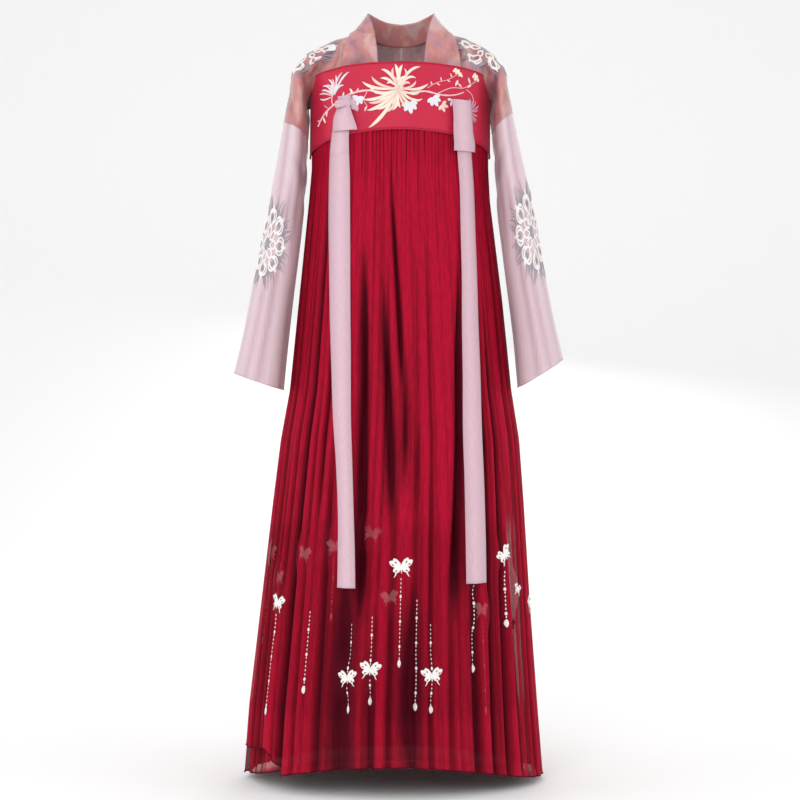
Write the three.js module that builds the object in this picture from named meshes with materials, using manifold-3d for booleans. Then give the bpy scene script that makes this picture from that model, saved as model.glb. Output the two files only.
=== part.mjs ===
// A chest-high hanfu: an open-fronted organza shirt under a gathered chiffon skirt on a stiff chest band,
// with two hanging ties. It keeps the hollow form it has when worn. Millimetres, +Z up, front towards -Y.
// The origin is midway between the tops of the shoulders, where the wearer carries the shirt.
import * as THREE from "three";
import Module from "manifold-3d";

const wasm = await Module();
wasm.setup();

// ---- Driving sizes ----
const SEAM_GAP = 0.3; // between two pieces that are sewn together
const SEAM_DROP = 0.5; // the same gap, measured straight down a slanted seam
const ORGANZA = 2.0; // wall of the shirt and its sleeves
const CHIFFON = 2.4; // wall of the gathered layers, measured towards the middle
const BAND_WALL = 3.0; // the interlined chest band
const COLLAR_WALL = 2.6; // the folded collar
const TIE_WALL = 1.6; // the flat ties
const FULL_TURN = 2 * Math.PI;

// The chest band: its ring, and how far its edges fall from the middle of the front to the sides.
const BAND = { centre: -2, side: 161, front: 118, rear: 102 };
const BAND_TOP = -68;
const BAND_TOP_FALL = 20;
const BAND_FOOT = -183;
const BAND_FOOT_FALL = 38;
const REAR_BAND_FOOT = -205;

// Rings of the skirt without its folds, from the band to below the hem.
const SKIRT = [
  { z: -160, centre: -2, side: 157, front: 114, rear: 99 },
  { z: -240, centre: -2, side: 157, front: 116, rear: 101 },
  { z: -297, centre: -3, side: 161, front: 121, rear: 106 },
  { z: -475, centre: -1, side: 181, front: 139, rear: 124 },
  { z: -632, centre: -1, side: 197, front: 155, rear: 141 },
  { z: -720, centre: -2, side: 212, front: 163, rear: 150 },
  { z: -831, centre: -5, side: 223, front: 173, rear: 161 },
  { z: -1009, centre: -10, side: 239, front: 188, rear: 177 },
  { z: -1187, centre: -14, side: 256, front: 201, rear: 193 },
  { z: -1315, centre: -14, side: 266, front: 211, rear: 204 },
];
const HEM = { front: -1268, side: -1312, rear: -1300 }; // the front hangs a little higher
const LINING_RISE = 82; // the lining stops this far above the hem
const UNDERSKIRT_RISE = 10;

// The deep folds: each valley's angle from the front at the band and at the hem, and its depth at the hem.
const FRONT_FOLDS = [
  { band: -90, hem: -90, depth: 9 },
  { band: -76, hem: -78, depth: 18 },
  { band: -62, hem: -66, depth: 20 },
  { band: -50, hem: -55, depth: 16 },
  { band: -40, hem: -43, depth: 14 },
  { band: -29, hem: -30, depth: 20 },
  { band: -17, hem: -18, depth: 22 },
  { band: -6, hem: -5, depth: 24 },
  { band: 6, hem: 5, depth: 14 },
  { band: 18, hem: 12, depth: 16 },
  { band: 36, hem: 26, depth: 22 },
  { band: 50, hem: 42, depth: 16 },
  { band: 64, hem: 58, depth: 18 },
  { band: 77, hem: 74, depth: 18 },
  { band: 90, hem: 90, depth: 9 },
];
const REAR_FOLDS = [
  { band: 90, hem: 90, depth: 9 },
  { band: 105, hem: 103, depth: 17 },
  { band: 119, hem: 121, depth: 20 },
  { band: 133, hem: 134, depth: 15 },
  { band: 146, hem: 150, depth: 21 },
  { band: 161, hem: 163, depth: 17 },
  { band: 175, hem: 178, depth: 22 },
  { band: 190, hem: 192, depth: 16 },
  { band: 206, hem: 208, depth: 20 },
  { band: 221, hem: 224, depth: 18 },
  { band: 237, hem: 238, depth: 21 },
  { band: 253, hem: 254, depth: 16 },
  { band: 270, hem: 270, depth: 9 },
];

// Rings of the shirt's body, outside face, from its hem up over the shoulders to the neck.
const BODY = [
  { frontZ: -430, sideZ: -430, rearZ: -430, side: 140, front: 99, rear: 92 },
  { frontZ: -300, sideZ: -300, rearZ: -300, side: 128, front: 88, rear: 80 },
  { frontZ: -215, sideZ: -215, rearZ: -215, side: 138, front: 94, rear: 82 },
  { frontZ: -140, sideZ: -140, rearZ: -140, side: 146, front: 103, rear: 89 },
  { frontZ: -84, sideZ: -92, rearZ: -88, side: 143, front: 99, rear: 90 },
  { frontZ: -56, sideZ: -52, rearZ: -54, side: 134, front: 84, rear: 85 },
  { frontZ: -34, sideZ: -22, rearZ: -28, side: 114, front: 66, rear: 74 },
  { frontZ: -20, sideZ: -5, rearZ: -13, side: 94, front: 52, rear: 62 },
  { frontZ: -10, sideZ: 5, rearZ: -5, side: 70, front: 38, rear: 48 },
];

// Sections of the arms by their outer and inner points, with the middle and half of their depth.
// The first ones lie inside the body and make the shoulder. The row marked seam joins the lower sleeve.
const LEFT_ARM = [
  { outerX: -58, outerZ: 6, innerX: -50, innerZ: -105, midY: 6, half: 40 },
  { outerX: -84, outerZ: 1, innerX: -76, innerZ: -108, midY: 6, half: 48 },
  { outerX: -112, outerZ: -8, innerX: -102, innerZ: -104, midY: 5, half: 52 },
  { outerX: -140, outerZ: -21, innerX: -126, innerZ: -92, midY: 3, half: 54 },
  { outerX: -168, outerZ: -36, innerX: -148, innerZ: -77, midY: 1, half: 56 },
  { outerX: -192, outerZ: -64, innerX: -165, innerZ: -81, midY: -2, half: 60 },
  { outerX: -200, outerZ: -106, innerX: -166, innerZ: -124, midY: -5, half: 64 },
  { outerX: -208, outerZ: -160, innerX: -168, innerZ: -184, midY: -9, half: 66 },
];
const LEFT_SLEEVE = [
  { outerX: -208, outerZ: -160, innerX: -168, innerZ: -184, midY: -9, half: 66 },
  { outerX: -222, outerZ: -240, innerX: -168, innerZ: -256, midY: -15, half: 69 },
  { outerX: -235, outerZ: -312, innerX: -173, innerZ: -328, midY: -20, half: 73 },
  { outerX: -249, outerZ: -384, innerX: -181, innerZ: -400, midY: -25, half: 77 },
  { outerX: -262, outerZ: -448, innerX: -189, innerZ: -467, midY: -29, half: 81 },
  { outerX: -277, outerZ: -528, innerX: -198, innerZ: -550, midY: -34, half: 86 },
  { outerX: -294, outerZ: -602, innerX: -206, innerZ: -632, midY: -38, half: 91 },
];
const RIGHT_ARM = [
  { outerX: 58, outerZ: 7, innerX: 50, innerZ: -105, midY: 6, half: 40 },
  { outerX: 84, outerZ: 2, innerX: 76, innerZ: -108, midY: 6, half: 48 },
  { outerX: 111, outerZ: -6, innerX: 102, innerZ: -104, midY: 5, half: 52 },
  { outerX: 138, outerZ: -18, innerX: 125, innerZ: -92, midY: 3, half: 54 },
  { outerX: 162, outerZ: -34, innerX: 145, innerZ: -76, midY: 0, half: 56 },
  { outerX: 180, outerZ: -58, innerX: 161, innerZ: -80, midY: -3, half: 59 },
  { outerX: 191, outerZ: -94, innerX: 163, innerZ: -116, midY: -6, half: 62 },
  { outerX: 198, outerZ: -143, innerX: 164, innerZ: -176, midY: -10, half: 66 },
];
const RIGHT_SLEEVE = [
  { outerX: 198, outerZ: -143, innerX: 164, innerZ: -176, midY: -10, half: 66 },
  { outerX: 213, outerZ: -217, innerX: 165, innerZ: -243, midY: -16, half: 69 },
  { outerX: 231, outerZ: -297, innerX: 170, innerZ: -318, midY: -22, half: 73 },
  { outerX: 244, outerZ: -372, innerX: 179, innerZ: -393, midY: -27, half: 77 },
  { outerX: 257, outerZ: -445, innerX: 188, innerZ: -468, midY: -32, half: 81 },
  { outerX: 270, outerZ: -512, innerX: 197, innerZ: -545, midY: -37, half: 86 },
  { outerX: 285, outerZ: -577, innerX: 204, innerZ: -628, midY: -41, half: 91 },
];

// The collar, from the middle of the neck down one front: its sewn edge and its free edge.
const COLLAR = [
  { sewnX: 0, sewnY: 60, sewnZ: -13, freeX: 0, freeY: 46, freeZ: 40 },
  { sewnX: 30, sewnY: 56, sewnZ: -11, freeX: 25, freeY: 41, freeZ: 41 },
  { sewnX: 56, sewnY: 41, sewnZ: -5, freeX: 45, freeY: 28, freeZ: 42 },
  { sewnX: 74, sewnY: 16, sewnZ: 3, freeX: 56, freeY: 7, freeZ: 38 },
  { sewnX: 84, sewnY: -16, sewnZ: 0, freeX: 54, freeY: -20, freeZ: 26 },
  { sewnX: 93, sewnY: -46, sewnZ: -18, freeX: 48, freeY: -52, freeZ: 2 },
  { sewnX: 100, sewnY: -68, sewnZ: -46, freeX: 42, freeY: -84, freeZ: -34 },
];
const COLLAR_HANG = [-72, -120, -180, -240, -300, -365, -424]; // levels where the collar lies on the chest
const COLLAR_SEWN_X = 103;
const COLLAR_FREE_X = 39;

// The ties: the path of each long end, and the short end folded over the band in front of it.
const LEFT_TIE = [
  { z: -138, x: -99, width: 26 },
  { z: -186, x: -105, width: 30 },
  { z: -222, x: -107, width: 34 },
  { z: -320, x: -107, width: 37 },
  { z: -500, x: -105, width: 36 },
  { z: -680, x: -101, width: 32 },
  { z: -840, x: -94, width: 28 },
  { z: -968, x: -93, width: 30 },
];
const RIGHT_TIE = [
  { z: -134, x: 107, width: 24 },
  { z: -186, x: 108, width: 24 },
  { z: -222, x: 110, width: 24 },
  { z: -320, x: 115, width: 25 },
  { z: -500, x: 119, width: 28 },
  { z: -680, x: 122, width: 32 },
  { z: -840, x: 126, width: 34 },
  { z: -962, x: 128, width: 35 },
];
const LEFT_TAIL = [
  { z: -138, x: -99, width: 22 },
  { z: -160, x: -101, width: 34 },
  { z: -184, x: -98, width: 42 },
];
const RIGHT_TAIL = [
  { z: -134, x: 105, width: 32 },
  { z: -186, x: 108, width: 36 },
  { z: -219, x: 110, width: 38 },
];
const KNOT_DEPTH = 11;
const TIE_CLEARANCE = 4; // in front of the ridges of the skirt
const TAIL_STEP = 2.6; // from the face of the long end to the back of the short one

// ---- Small helpers ----
const radians = (degrees) => (degrees * Math.PI) / 180;
const mix = (a, b, share) => a + (b - a) * share;

// The row of a table at a height, mixed from the rows above and below it. The table runs downwards.
function rowAt(table, z) {
  let i = 0;
  while (i < table.length - 2 && z < table[i + 1].z) i++;
  const [upper, lower] = [table[i], table[i + 1]];
  const share = Math.min(1, Math.max(0, (upper.z - z) / (upper.z - lower.z)));
  const mixed = Object.keys(upper).map((key) => [key, mix(upper[key], lower[key], share)]);
  return Object.fromEntries(mixed);
}

// A closed wall between two grids of points that have the same rows and columns.
function wallGeometry(outer, inner, wraps) {
  const [rows, columns] = [outer.length, outer[0].length];
  const points = [...outer.flat(), ...inner.flat()];
  const back = rows * columns;
  const faces = [];
  const quad = (a, b, c, d) => faces.push([a, b, c], [a, c, d]);
  const spans = wraps ? columns : columns - 1;
  for (let j = 0; j < spans; j++) {
    const next = (j + 1) % columns;
    for (let i = 0; i < rows - 1; i++) {
      const [here, below] = [i * columns, (i + 1) * columns];
      quad(here + j, here + next, below + next, below + j);
      quad(back + here + j, back + below + j, back + below + next, back + here + next);
    }
    const foot = (rows - 1) * columns;
    quad(j, back + j, back + next, next);
    quad(foot + j, foot + next, back + foot + next, back + foot + j);
  }
  for (let i = 0; i < rows - 1 && !wraps; i++) {
    const [here, below] = [i * columns, (i + 1) * columns];
    const last = columns - 1;
    quad(here, below, back + below, back + here);
    quad(here + last, back + here + last, back + below + last, below + last);
  }
  return facesOut(points, faces);
}

// A solid through rings of points, closed by a fan at each end.
function loftGeometry(rings) {
  const count = rings[0].length;
  const middle = (ring) => [0, 1, 2].map((k) => ring.reduce((sum, p) => sum + p[k], 0) / count);
  const points = [...rings.flat(), middle(rings[0]), middle(rings[rings.length - 1])];
  const [head, foot] = [points.length - 2, points.length - 1];
  const faces = [];
  for (let j = 0; j < count; j++) {
    const next = (j + 1) % count;
    for (let i = 0; i < rings.length - 1; i++) {
      const [here, below] = [i * count, (i + 1) * count];
      faces.push([here + j, here + next, below + next], [here + j, below + next, below + j]);
    }
    const last = (rings.length - 1) * count;
    faces.push([head, next, j], [foot, last + j, last + next]);
  }
  return facesOut(points, faces);
}

// An indexed geometry whose faces point out, whichever way round they were listed.
function facesOut(points, faces) {
  const volume = faces.reduce((sum, [a, b, c]) => {
    const [p, q, r] = [points[a], points[b], points[c]].map((v) => new THREE.Vector3(...v));
    return sum + p.dot(q.cross(r)) / 6;
  }, 0);
  const listed = volume < 0 ? faces.map(([a, b, c]) => [a, c, b]) : faces;
  const geometry = new THREE.BufferGeometry();
  geometry.setAttribute("position", new THREE.Float32BufferAttribute(points.flat(), 3));
  geometry.setIndex(listed.flat());
  geometry.computeVertexNormals();
  return geometry;
}

const solidOf = (geometry) =>
  new wasm.Manifold(
    new wasm.Mesh({
      numProp: 3,
      vertProperties: geometry.getAttribute("position").array,
      triVerts: new Uint32Array(geometry.index.array),
    }),
  );

function geometryOf(solid) {
  const mesh = solid.getMesh();
  const positions = new Float32Array(mesh.numVert * 3);
  for (let i = 0; i < mesh.numVert; i++) {
    positions.set(mesh.vertProperties.subarray(i * mesh.numProp, i * mesh.numProp + 3), i * 3);
  }
  const geometry = new THREE.BufferGeometry();
  geometry.setAttribute("position", new THREE.BufferAttribute(positions, 3));
  geometry.setIndex(new THREE.BufferAttribute(mesh.triVerts, 1));
  geometry.computeVertexNormals();
  return geometry;
}

// ---- The chest band ----
// The share of the full fall that the band's edges have reached at an angle from the front.
const fallShare = (angle) => (Math.cos(angle) > 0 ? 1 - Math.cos(angle) : 1);
const bandTop = (angle) => BAND_TOP - BAND_TOP_FALL * fallShare(angle);
const frontBandFoot = (angle) => BAND_FOOT - BAND_FOOT_FALL * fallShare(angle);
const rearBandFoot = () => REAR_BAND_FOOT;

// A point on a ring, at an angle from the front, moved in towards the middle.
function ringPoint(ring, angle, z, inset) {
  const deep = Math.cos(angle) > 0 ? ring.front : ring.rear;
  const x = ring.centre + (ring.side - inset) * Math.sin(angle);
  return [x, -(deep - inset) * Math.cos(angle), z];
}

function bandGeometry(from, to, foot) {
  const [columns, rows] = [28, 3];
  const edge = SEAM_GAP / BAND.side;
  const wall = (inset) =>
    Array.from({ length: rows }, (_, i) =>
      Array.from({ length: columns }, (_, j) => {
        const angle = mix(radians(from) + edge, radians(to) - edge, j / (columns - 1));
        const z = mix(bandTop(angle), foot(angle), i / (rows - 1));
        return ringPoint(BAND, angle, z, inset);
      }),
    );
  return wallGeometry(wall(0), wall(BAND_WALL), false);
}

// ---- The gathered layers of the skirt ----
// The height of the hem at an angle from the front: it dips towards the sides.
function hemAt(angle) {
  const ahead = Math.cos(angle) > 0 ? HEM.front : HEM.rear;
  return mix(ahead, HEM.side, Math.sin(angle) ** 2);
}

const ROW_SHARES = [0, 0.05, 0.14, 0.28, 0.44, 0.62, 0.8, 1];

// One layer of a panel: steps are the places across each fold and how much of its depth they have.
function layerGeometry(folds, foot, layer) {
  const wall = (inset) =>
    ROW_SHARES.map((down) => {
      const grown = mix(0.16, 1, down ** 0.8);
      const settled = Math.min(1, down * 5);
      const tuck = mix(layer.tuckAtBand, layer.tuck, settled);
      const share = mix(1, layer.share, settled);
      const columns = [];
      folds.slice(0, -1).forEach((fold, i) => {
        const next = folds[i + 1];
        for (const step of layer.steps) {
          const atBand = mix(fold.band, next.band, step.across);
          const atHem = mix(fold.hem, next.hem, step.across);
          const depth = mix(fold.depth, next.depth, step.across) * step.deep * grown;
          columns.push({ angle: radians(mix(atBand, atHem, down)), depth });
        }
      });
      const last = folds[folds.length - 1];
      columns.push({ angle: radians(last.band), depth: last.depth * grown });
      const edge = SEAM_GAP / SKIRT[0].side;
      columns[0].angle += edge;
      columns[columns.length - 1].angle -= edge;
      return columns.map(({ angle, depth }) => {
        const z = mix(foot(angle) - SEAM_GAP, hemAt(angle) + layer.rise, down);
        return ringPoint(rowAt(SKIRT, z), angle, z, tuck + share * depth + inset);
      });
    });
  return wallGeometry(wall(0), wall(CHIFFON), false);
}

const VALLEY = { across: 0, deep: 1 };
const RIDGE = { across: 0.5, deep: 0 };
const OUTER_LAYER = {
  steps: [VALLEY, { across: 0.25, deep: 0.3 }, RIDGE, { across: 0.75, deep: 0.3 }],
  tuckAtBand: 0,
  tuck: 0,
  share: 1,
  rise: 0,
};
const UNDER_LAYER = {
  steps: [VALLEY, RIDGE],
  tuckAtBand: CHIFFON + SEAM_GAP,
  tuck: 9,
  share: 0.75,
  rise: UNDERSKIRT_RISE,
};
const LINING_LAYER = {
  steps: [VALLEY, RIDGE],
  tuckAtBand: 2 * (CHIFFON + SEAM_GAP),
  tuck: 16,
  share: 0.62,
  rise: LINING_RISE,
};

// ---- The shirt ----
const BODY_SIDES = 40;
const ARM_SIDES = 24;

function bodyLoft(inset) {
  const ringOf = (row) =>
    Array.from({ length: BODY_SIDES }, (_, j) => {
      const angle = (j / BODY_SIDES) * FULL_TURN;
      const towardSide = Math.abs(Math.sin(angle)) ** 1.5;
      const ahead = Math.cos(angle) > 0 ? row.frontZ : row.rearZ;
      const z = mix(ahead, row.sideZ, towardSide);
      return ringPoint({ centre: 0, ...row }, angle, z, inset);
    });
  return loftGeometry(BODY.map(ringOf));
}

// The ring of a section, moved in by inset, and pushed past its plane for a clean cut where ends overlap.
function sectionRing(row, inset) {
  const middle = [(row.outerX + row.innerX) / 2, row.midY, (row.outerZ + row.innerZ) / 2];
  const out = [(row.outerX - row.innerX) / 2, 0, (row.outerZ - row.innerZ) / 2];
  const reach = Math.hypot(out[0], out[2]);
  return Array.from({ length: ARM_SIDES }, (_, j) => {
    const angle = (j / ARM_SIDES) * FULL_TURN;
    const along = (Math.cos(angle) * (reach - inset)) / reach;
    const deep = Math.sin(angle) * (row.half - inset);
    return [middle[0] + out[0] * along, middle[1] - deep, middle[2] + out[2] * along];
  });
}

const armLoft = (arm, inset) => loftGeometry(arm.map((row) => sectionRing(row, inset)));

// The seam outline of the collar seen from above, as a tall prism that opens the neck and the front.
function neckPrism() {
  const right = COLLAR.map((row) => [row.sewnX, row.sewnY]);
  right.push([COLLAR_SEWN_X, -200]);
  const left = right.slice(1).reverse().map(([x, y]) => [-x, y]);
  const outline = new THREE.Shape([...right, ...left].map(([x, y]) => new THREE.Vector2(x, y)));
  const prism = new THREE.ExtrudeGeometry(outline, { depth: 700, bevelEnabled: false });
  prism.translate(0, 0, -520);
  return solidOfExtrusion(prism);
}

// An extruded shape as a solid, its points merged.
function solidOfExtrusion(geometry) {
  const positions = geometry.getAttribute("position").array;
  const [points, faces, seen] = [[], [], new Map()];
  for (let i = 0; i < positions.length; i += 3) {
    const point = Array.from(positions.slice(i, i + 3));
    const key = point.map((v) => v.toFixed(3)).join();
    if (!seen.has(key)) seen.set(key, points.push(point) - 1);
    faces.push(seen.get(key));
  }
  const triples = Array.from({ length: faces.length / 3 }, (_, i) => faces.slice(3 * i, 3 * i + 3));
  return solidOf(facesOut(points, triples));
}

const boxSolid = (low, high) => {
  const box = new THREE.BoxGeometry(high[0] - low[0], high[1] - low[1], high[2] - low[2]);
  box.translate(...low.map((v, k) => (v + high[k]) / 2));
  return solidOfExtrusion(box.toNonIndexed());
};

// Past both ends of the body and the arms, so that the inside leaves the hem and the cuffs open.
function lengthened(rows, keys, by) {
  const [last, before] = [rows[rows.length - 1], rows[rows.length - 2]];
  const extra = { ...last };
  for (const key of keys) extra[key] += (last[key] - before[key]) * by;
  return [...rows, extra];
}

function shirtHalves() {
  const outside = solidOf(bodyLoft(0))
    .add(solidOf(armLoft(LEFT_ARM, 0)))
    .add(solidOf(armLoft(RIGHT_ARM, 0)));
  const ends = ["outerX", "outerZ", "innerX", "innerZ"];
  const inside = solidOf(bodyLoft(ORGANZA))
    .add(solidOf(armLoft(lengthened(LEFT_ARM, ends, 0.2), ORGANZA)))
    .add(solidOf(armLoft(lengthened(RIGHT_ARM, ends, 0.2), ORGANZA)))
    .add(boxSolid([-137, -80, -500], [137, 80, -428]).intersect(solidOf(hemPlug())));
  const shell = outside.subtract(inside).subtract(neckPrism()).subtract(solidOf(collarRoom()));
  const half = (low, high) => largest(shell.intersect(boxSolid(low, high)));
  return {
    left: half([-400, -300, -600], [-SEAM_GAP / 2, 300, 200]),
    right: half([SEAM_GAP / 2, -300, -600], [400, 300, 200]),
  };
}

// The inside of the shirt's hem, carried on below it.
function hemPlug() {
  const hem = BODY[0];
  const rings = [-420, -500].map((z) =>
    Array.from({ length: BODY_SIDES }, (_, j) =>
      ringPoint({ centre: 0, ...hem }, (j / BODY_SIDES) * FULL_TURN, z, ORGANZA),
    ),
  );
  return loftGeometry(rings);
}

const largest = (solid) =>
  solid.decompose().reduce((best, one) => (one.volume() > best.volume() ? one : best));

function sleeveGeometry(sleeve) {
  const shift = { ...sleeve[0], outerZ: sleeve[0].outerZ - SEAM_DROP, innerZ: sleeve[0].innerZ - SEAM_DROP };
  const rows = [shift, ...sleeve.slice(1)];
  return wallGeometry(
    rows.map((row) => sectionRing(row, 0)),
    rows.map((row) => sectionRing(row, ORGANZA)),
    true,
  );
}

// ---- The collar ----
// A point of the chest, which is the shirt's body, at a height and a distance to one side.
function chestPoint(x, z, inset) {
  const rows = [...BODY].reverse().map((row) => ({ ...row, z: row.frontZ }));
  const row = rowAt(rows, z);
  const across = Math.min(0.99, Math.abs(x) / (row.side - inset));
  return [x, -(row.front - inset) * Math.sqrt(1 - across * across), z];
}

// The collar's outside face. Its sewn edge can be carried on past the seam, for cutting the shirt to it.
function collarFace(past) {
  const across = 4;
  const upper = COLLAR.map((row) => (share) => {
    const sewn = new THREE.Vector3(row.sewnX, row.sewnY, row.sewnZ);
    const free = new THREE.Vector3(row.freeX, row.freeY, row.freeZ);
    return sewn.lerp(free, share).toArray();
  });
  const end = COLLAR_HANG.length - 1;
  const lower = COLLAR_HANG.map((z, i) => (share) => {
    const x = mix(COLLAR_SEWN_X, COLLAR_FREE_X, share);
    return chestPoint(x, i === end ? z - 300 * past : z, 0);
  });
  const half = [...upper, ...lower].map((at) =>
    Array.from({ length: across }, (_, k) => at(mix(-past, 1, k / (across - 1)))),
  );
  const mirrored = half.slice(1).reverse().map((row) => row.map(([x, y, z]) => [-x, y, z]));
  return [...mirrored.map((row) => row.map((point) => point)), ...half];
}

// A wall on an open grid of points: its two faces are set off along the grid's normals.
function thickened(face, from, to) {
  const at = (i, j) => new THREE.Vector3(...face[i][j]);
  const [rows, columns] = [face.length, face[0].length];
  const moved = (distance) =>
    face.map((row, i) =>
      row.map((point, j) => {
        const along = at(Math.min(i + 1, rows - 1), j).sub(at(Math.max(i - 1, 0), j));
        const side = at(i, Math.min(j + 1, columns - 1)).sub(at(i, Math.max(j - 1, 0)));
        const normal = along.cross(side).normalize();
        return new THREE.Vector3(...point).addScaledVector(normal, distance).toArray();
      }),
    );
  return wallGeometry(moved(from), moved(to), false);
}

const collarGeometry = () => thickened(collarFace(0), 0, COLLAR_WALL);
const collarRoom = () => thickened(collarFace(0.02), -3, COLLAR_WALL + 3);

// ---- The ties ----
// How far forward a hanging piece lies: on the band, then falling free of its foot onto the skirt.
function frontAt(x, z) {
  const surface = (ring) => {
    const across = Math.min(0.99, Math.abs(x - ring.centre) / ring.side);
    return ring.front * Math.sqrt(1 - across * across);
  };
  const fallen = Math.min(1, Math.max(0, (BAND_FOOT - BAND_FOOT_FALL - z) / 100));
  return Math.max(surface(rowAt(SKIRT, z)), mix(surface(BAND), 0, fallen));
}

function ribbonGeometry(path, forward) {
  const columns = 4;
  const wall = (extra) =>
    path.map(({ z, x, width }) =>
      Array.from({ length: columns }, (_, j) => {
        const place = x + width * (j / (columns - 1) - 0.5);
        return [place, -frontAt(place, z) - forward - extra, z];
      }),
    );
  return wallGeometry(wall(TIE_WALL), wall(0), false);
}

// The cloth pinched over the band's loop: a short rounded roll.
function knotGeometry(top, width, height, forward) {
  const sides = 12;
  const stations = [-0.5, -0.4, 0, 0.4, 0.5];
  const rings = stations.map((station) => {
    const full = Math.abs(station) === 0.5 ? 0.55 : 1;
    const x = top.x + width * station;
    const z = top.z + SEAM_GAP + height / 2;
    const y = -frontAt(x, z) - forward - KNOT_DEPTH / 2;
    return Array.from({ length: sides }, (_, j) => {
      const angle = (j / sides) * FULL_TURN;
      const deep = (KNOT_DEPTH / 2) * full * Math.cos(angle);
      return [x, y + deep, z + (height / 2) * full * Math.sin(angle)];
    });
  });
  return loftGeometry(rings);
}

// ---- The garment ----
const finish = (color, roughness) =>
  new THREE.MeshStandardMaterial({ color, roughness, metalness: 0, side: THREE.DoubleSide });
const shotOrganza = finish("#c98f96", 0.4);
const paleOrganza = finish("#e3c9d0", 0.45);
const crimsonChiffon = finish("#9c1830", 0.7);
const crimsonLining = finish("#8d1529", 0.6);
const roseSatin = finish("#d2304f", 0.5);
const pinkTie = finish("#ecc9d4", 0.6);

const garment = new THREE.Group();
function add(name, geometry, material) {
  const mesh = new THREE.Mesh(geometry, material);
  mesh.name = name;
  garment.add(mesh);
}

const halves = shirtHalves();
add("shirt_left", geometryOf(halves.left), shotOrganza);
add("shirt_right", geometryOf(halves.right), shotOrganza);
add("collar", collarGeometry(), shotOrganza);
add("sleeve_left", sleeveGeometry(LEFT_SLEEVE), paleOrganza);
add("sleeve_right", sleeveGeometry(RIGHT_SLEEVE), paleOrganza);
add("band_front", bandGeometry(-90, 90, frontBandFoot), roseSatin);
add("band_back", bandGeometry(90, 270, rearBandFoot), roseSatin);

const layers = [
  ["skirt", OUTER_LAYER, crimsonChiffon],
  ["underskirt", UNDER_LAYER, crimsonChiffon],
  ["lining", LINING_LAYER, crimsonLining],
];
for (const [name, layer, material] of layers) {
  add(name + "_front", layerGeometry(FRONT_FOLDS, frontBandFoot, layer), material);
  add(name + "_back", layerGeometry(REAR_FOLDS, rearBandFoot, layer), material);
}

const tailForward = TIE_CLEARANCE + TIE_WALL + TAIL_STEP;
add("tie_left_ribbon", ribbonGeometry(LEFT_TIE, TIE_CLEARANCE), pinkTie);
add("tie_left_tail", ribbonGeometry(LEFT_TAIL, tailForward), pinkTie);
add("tie_left_knot", knotGeometry(LEFT_TIE[0], 26, 14, 1.5), pinkTie);
add("tie_right_ribbon", ribbonGeometry(RIGHT_TIE, TIE_CLEARANCE), pinkTie);
add("tie_right_tail", ribbonGeometry(RIGHT_TAIL, tailForward), pinkTie);
add("tie_right_knot", knotGeometry(RIGHT_TIE[0], 34, 8, 1.5), pinkTie);

export default garment;
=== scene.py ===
# %% [markdown]
# # A chest-high hanfu
# The garment is an open-fronted organza shirt under a long gathered skirt that hangs from a chest band.
# It keeps the hollow form it has when worn. Every piece of cloth here is a thin surface computed from
# its own sizes, because cloth that hangs in pleats is easier to steer with numbers than with a brush.

# %% Load the frame
import math

import bmesh
import bpy
import numpy as np
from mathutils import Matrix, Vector
from mathutils.bvhtree import BVHTree


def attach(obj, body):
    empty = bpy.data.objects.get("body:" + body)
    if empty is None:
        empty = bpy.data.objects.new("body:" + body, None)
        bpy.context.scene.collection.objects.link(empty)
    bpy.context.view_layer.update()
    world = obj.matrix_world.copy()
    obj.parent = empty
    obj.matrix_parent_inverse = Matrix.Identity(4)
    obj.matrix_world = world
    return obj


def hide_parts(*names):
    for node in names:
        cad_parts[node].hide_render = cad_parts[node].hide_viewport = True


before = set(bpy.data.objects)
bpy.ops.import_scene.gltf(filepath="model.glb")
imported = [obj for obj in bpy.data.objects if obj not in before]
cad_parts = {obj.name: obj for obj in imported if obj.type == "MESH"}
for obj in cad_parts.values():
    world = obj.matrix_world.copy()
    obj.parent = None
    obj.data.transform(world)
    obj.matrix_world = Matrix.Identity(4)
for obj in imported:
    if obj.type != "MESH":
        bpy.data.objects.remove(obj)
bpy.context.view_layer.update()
MM = 0.001

# %% [markdown]
# ## Camera and light
# The camera stands level with the middle of the robe, a few metres off, so the near rings bulge only
# slightly. Soft light from a large panel in front shows sheer cloth best. Two side panels keep the
# pleats readable, and a pale world fills the shadows.

# %% Camera
VIEW_DISTANCE = 3.5
VIEW_WIDTH = 1.424  # how much of the garment's own plane the picture spans
EYE = Vector((-0.002, -VIEW_DISTANCE, -0.650))

camera_data = bpy.data.cameras.new("camera")
camera_data.sensor_width = 36.0
camera_data.lens = 36.0 * VIEW_DISTANCE / VIEW_WIDTH
camera = bpy.data.objects.new("camera", camera_data)
camera.location = EYE
camera.rotation_euler = (math.radians(90), 0, 0)
bpy.context.collection.objects.link(camera)
bpy.context.scene.camera = camera
print("lens", round(camera_data.lens, 1), "mm")


# %% Lights, floor and world
def soft_panel(name, place, aim, size, power):
    """A square light that faces a point."""
    data = bpy.data.lights.new(name, "AREA")
    data.shape = "SQUARE"
    data.size = size
    data.energy = power
    panel = bpy.data.objects.new(name, data)
    panel.location = place
    panel.rotation_euler = (Vector(aim) - Vector(place)).to_track_quat("-Z", "Y").to_euler()
    bpy.context.collection.objects.link(panel)
    return panel


MIDDLE = (0, 0, -0.65)
soft_panel("front_panel", (-0.9, -3.2, 0.7), MIDDLE, 1.6, 30)
soft_panel("right_panel", (2.8, -1.0, 0.3), MIDDLE, 1.4, 13)
soft_panel("left_panel", (-2.8, -0.6, 0.1), MIDDLE, 1.4, 11)
soft_panel("rear_panel", (0.4, 3.2, 0.6), MIDDLE, 1.8, 26)

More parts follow.
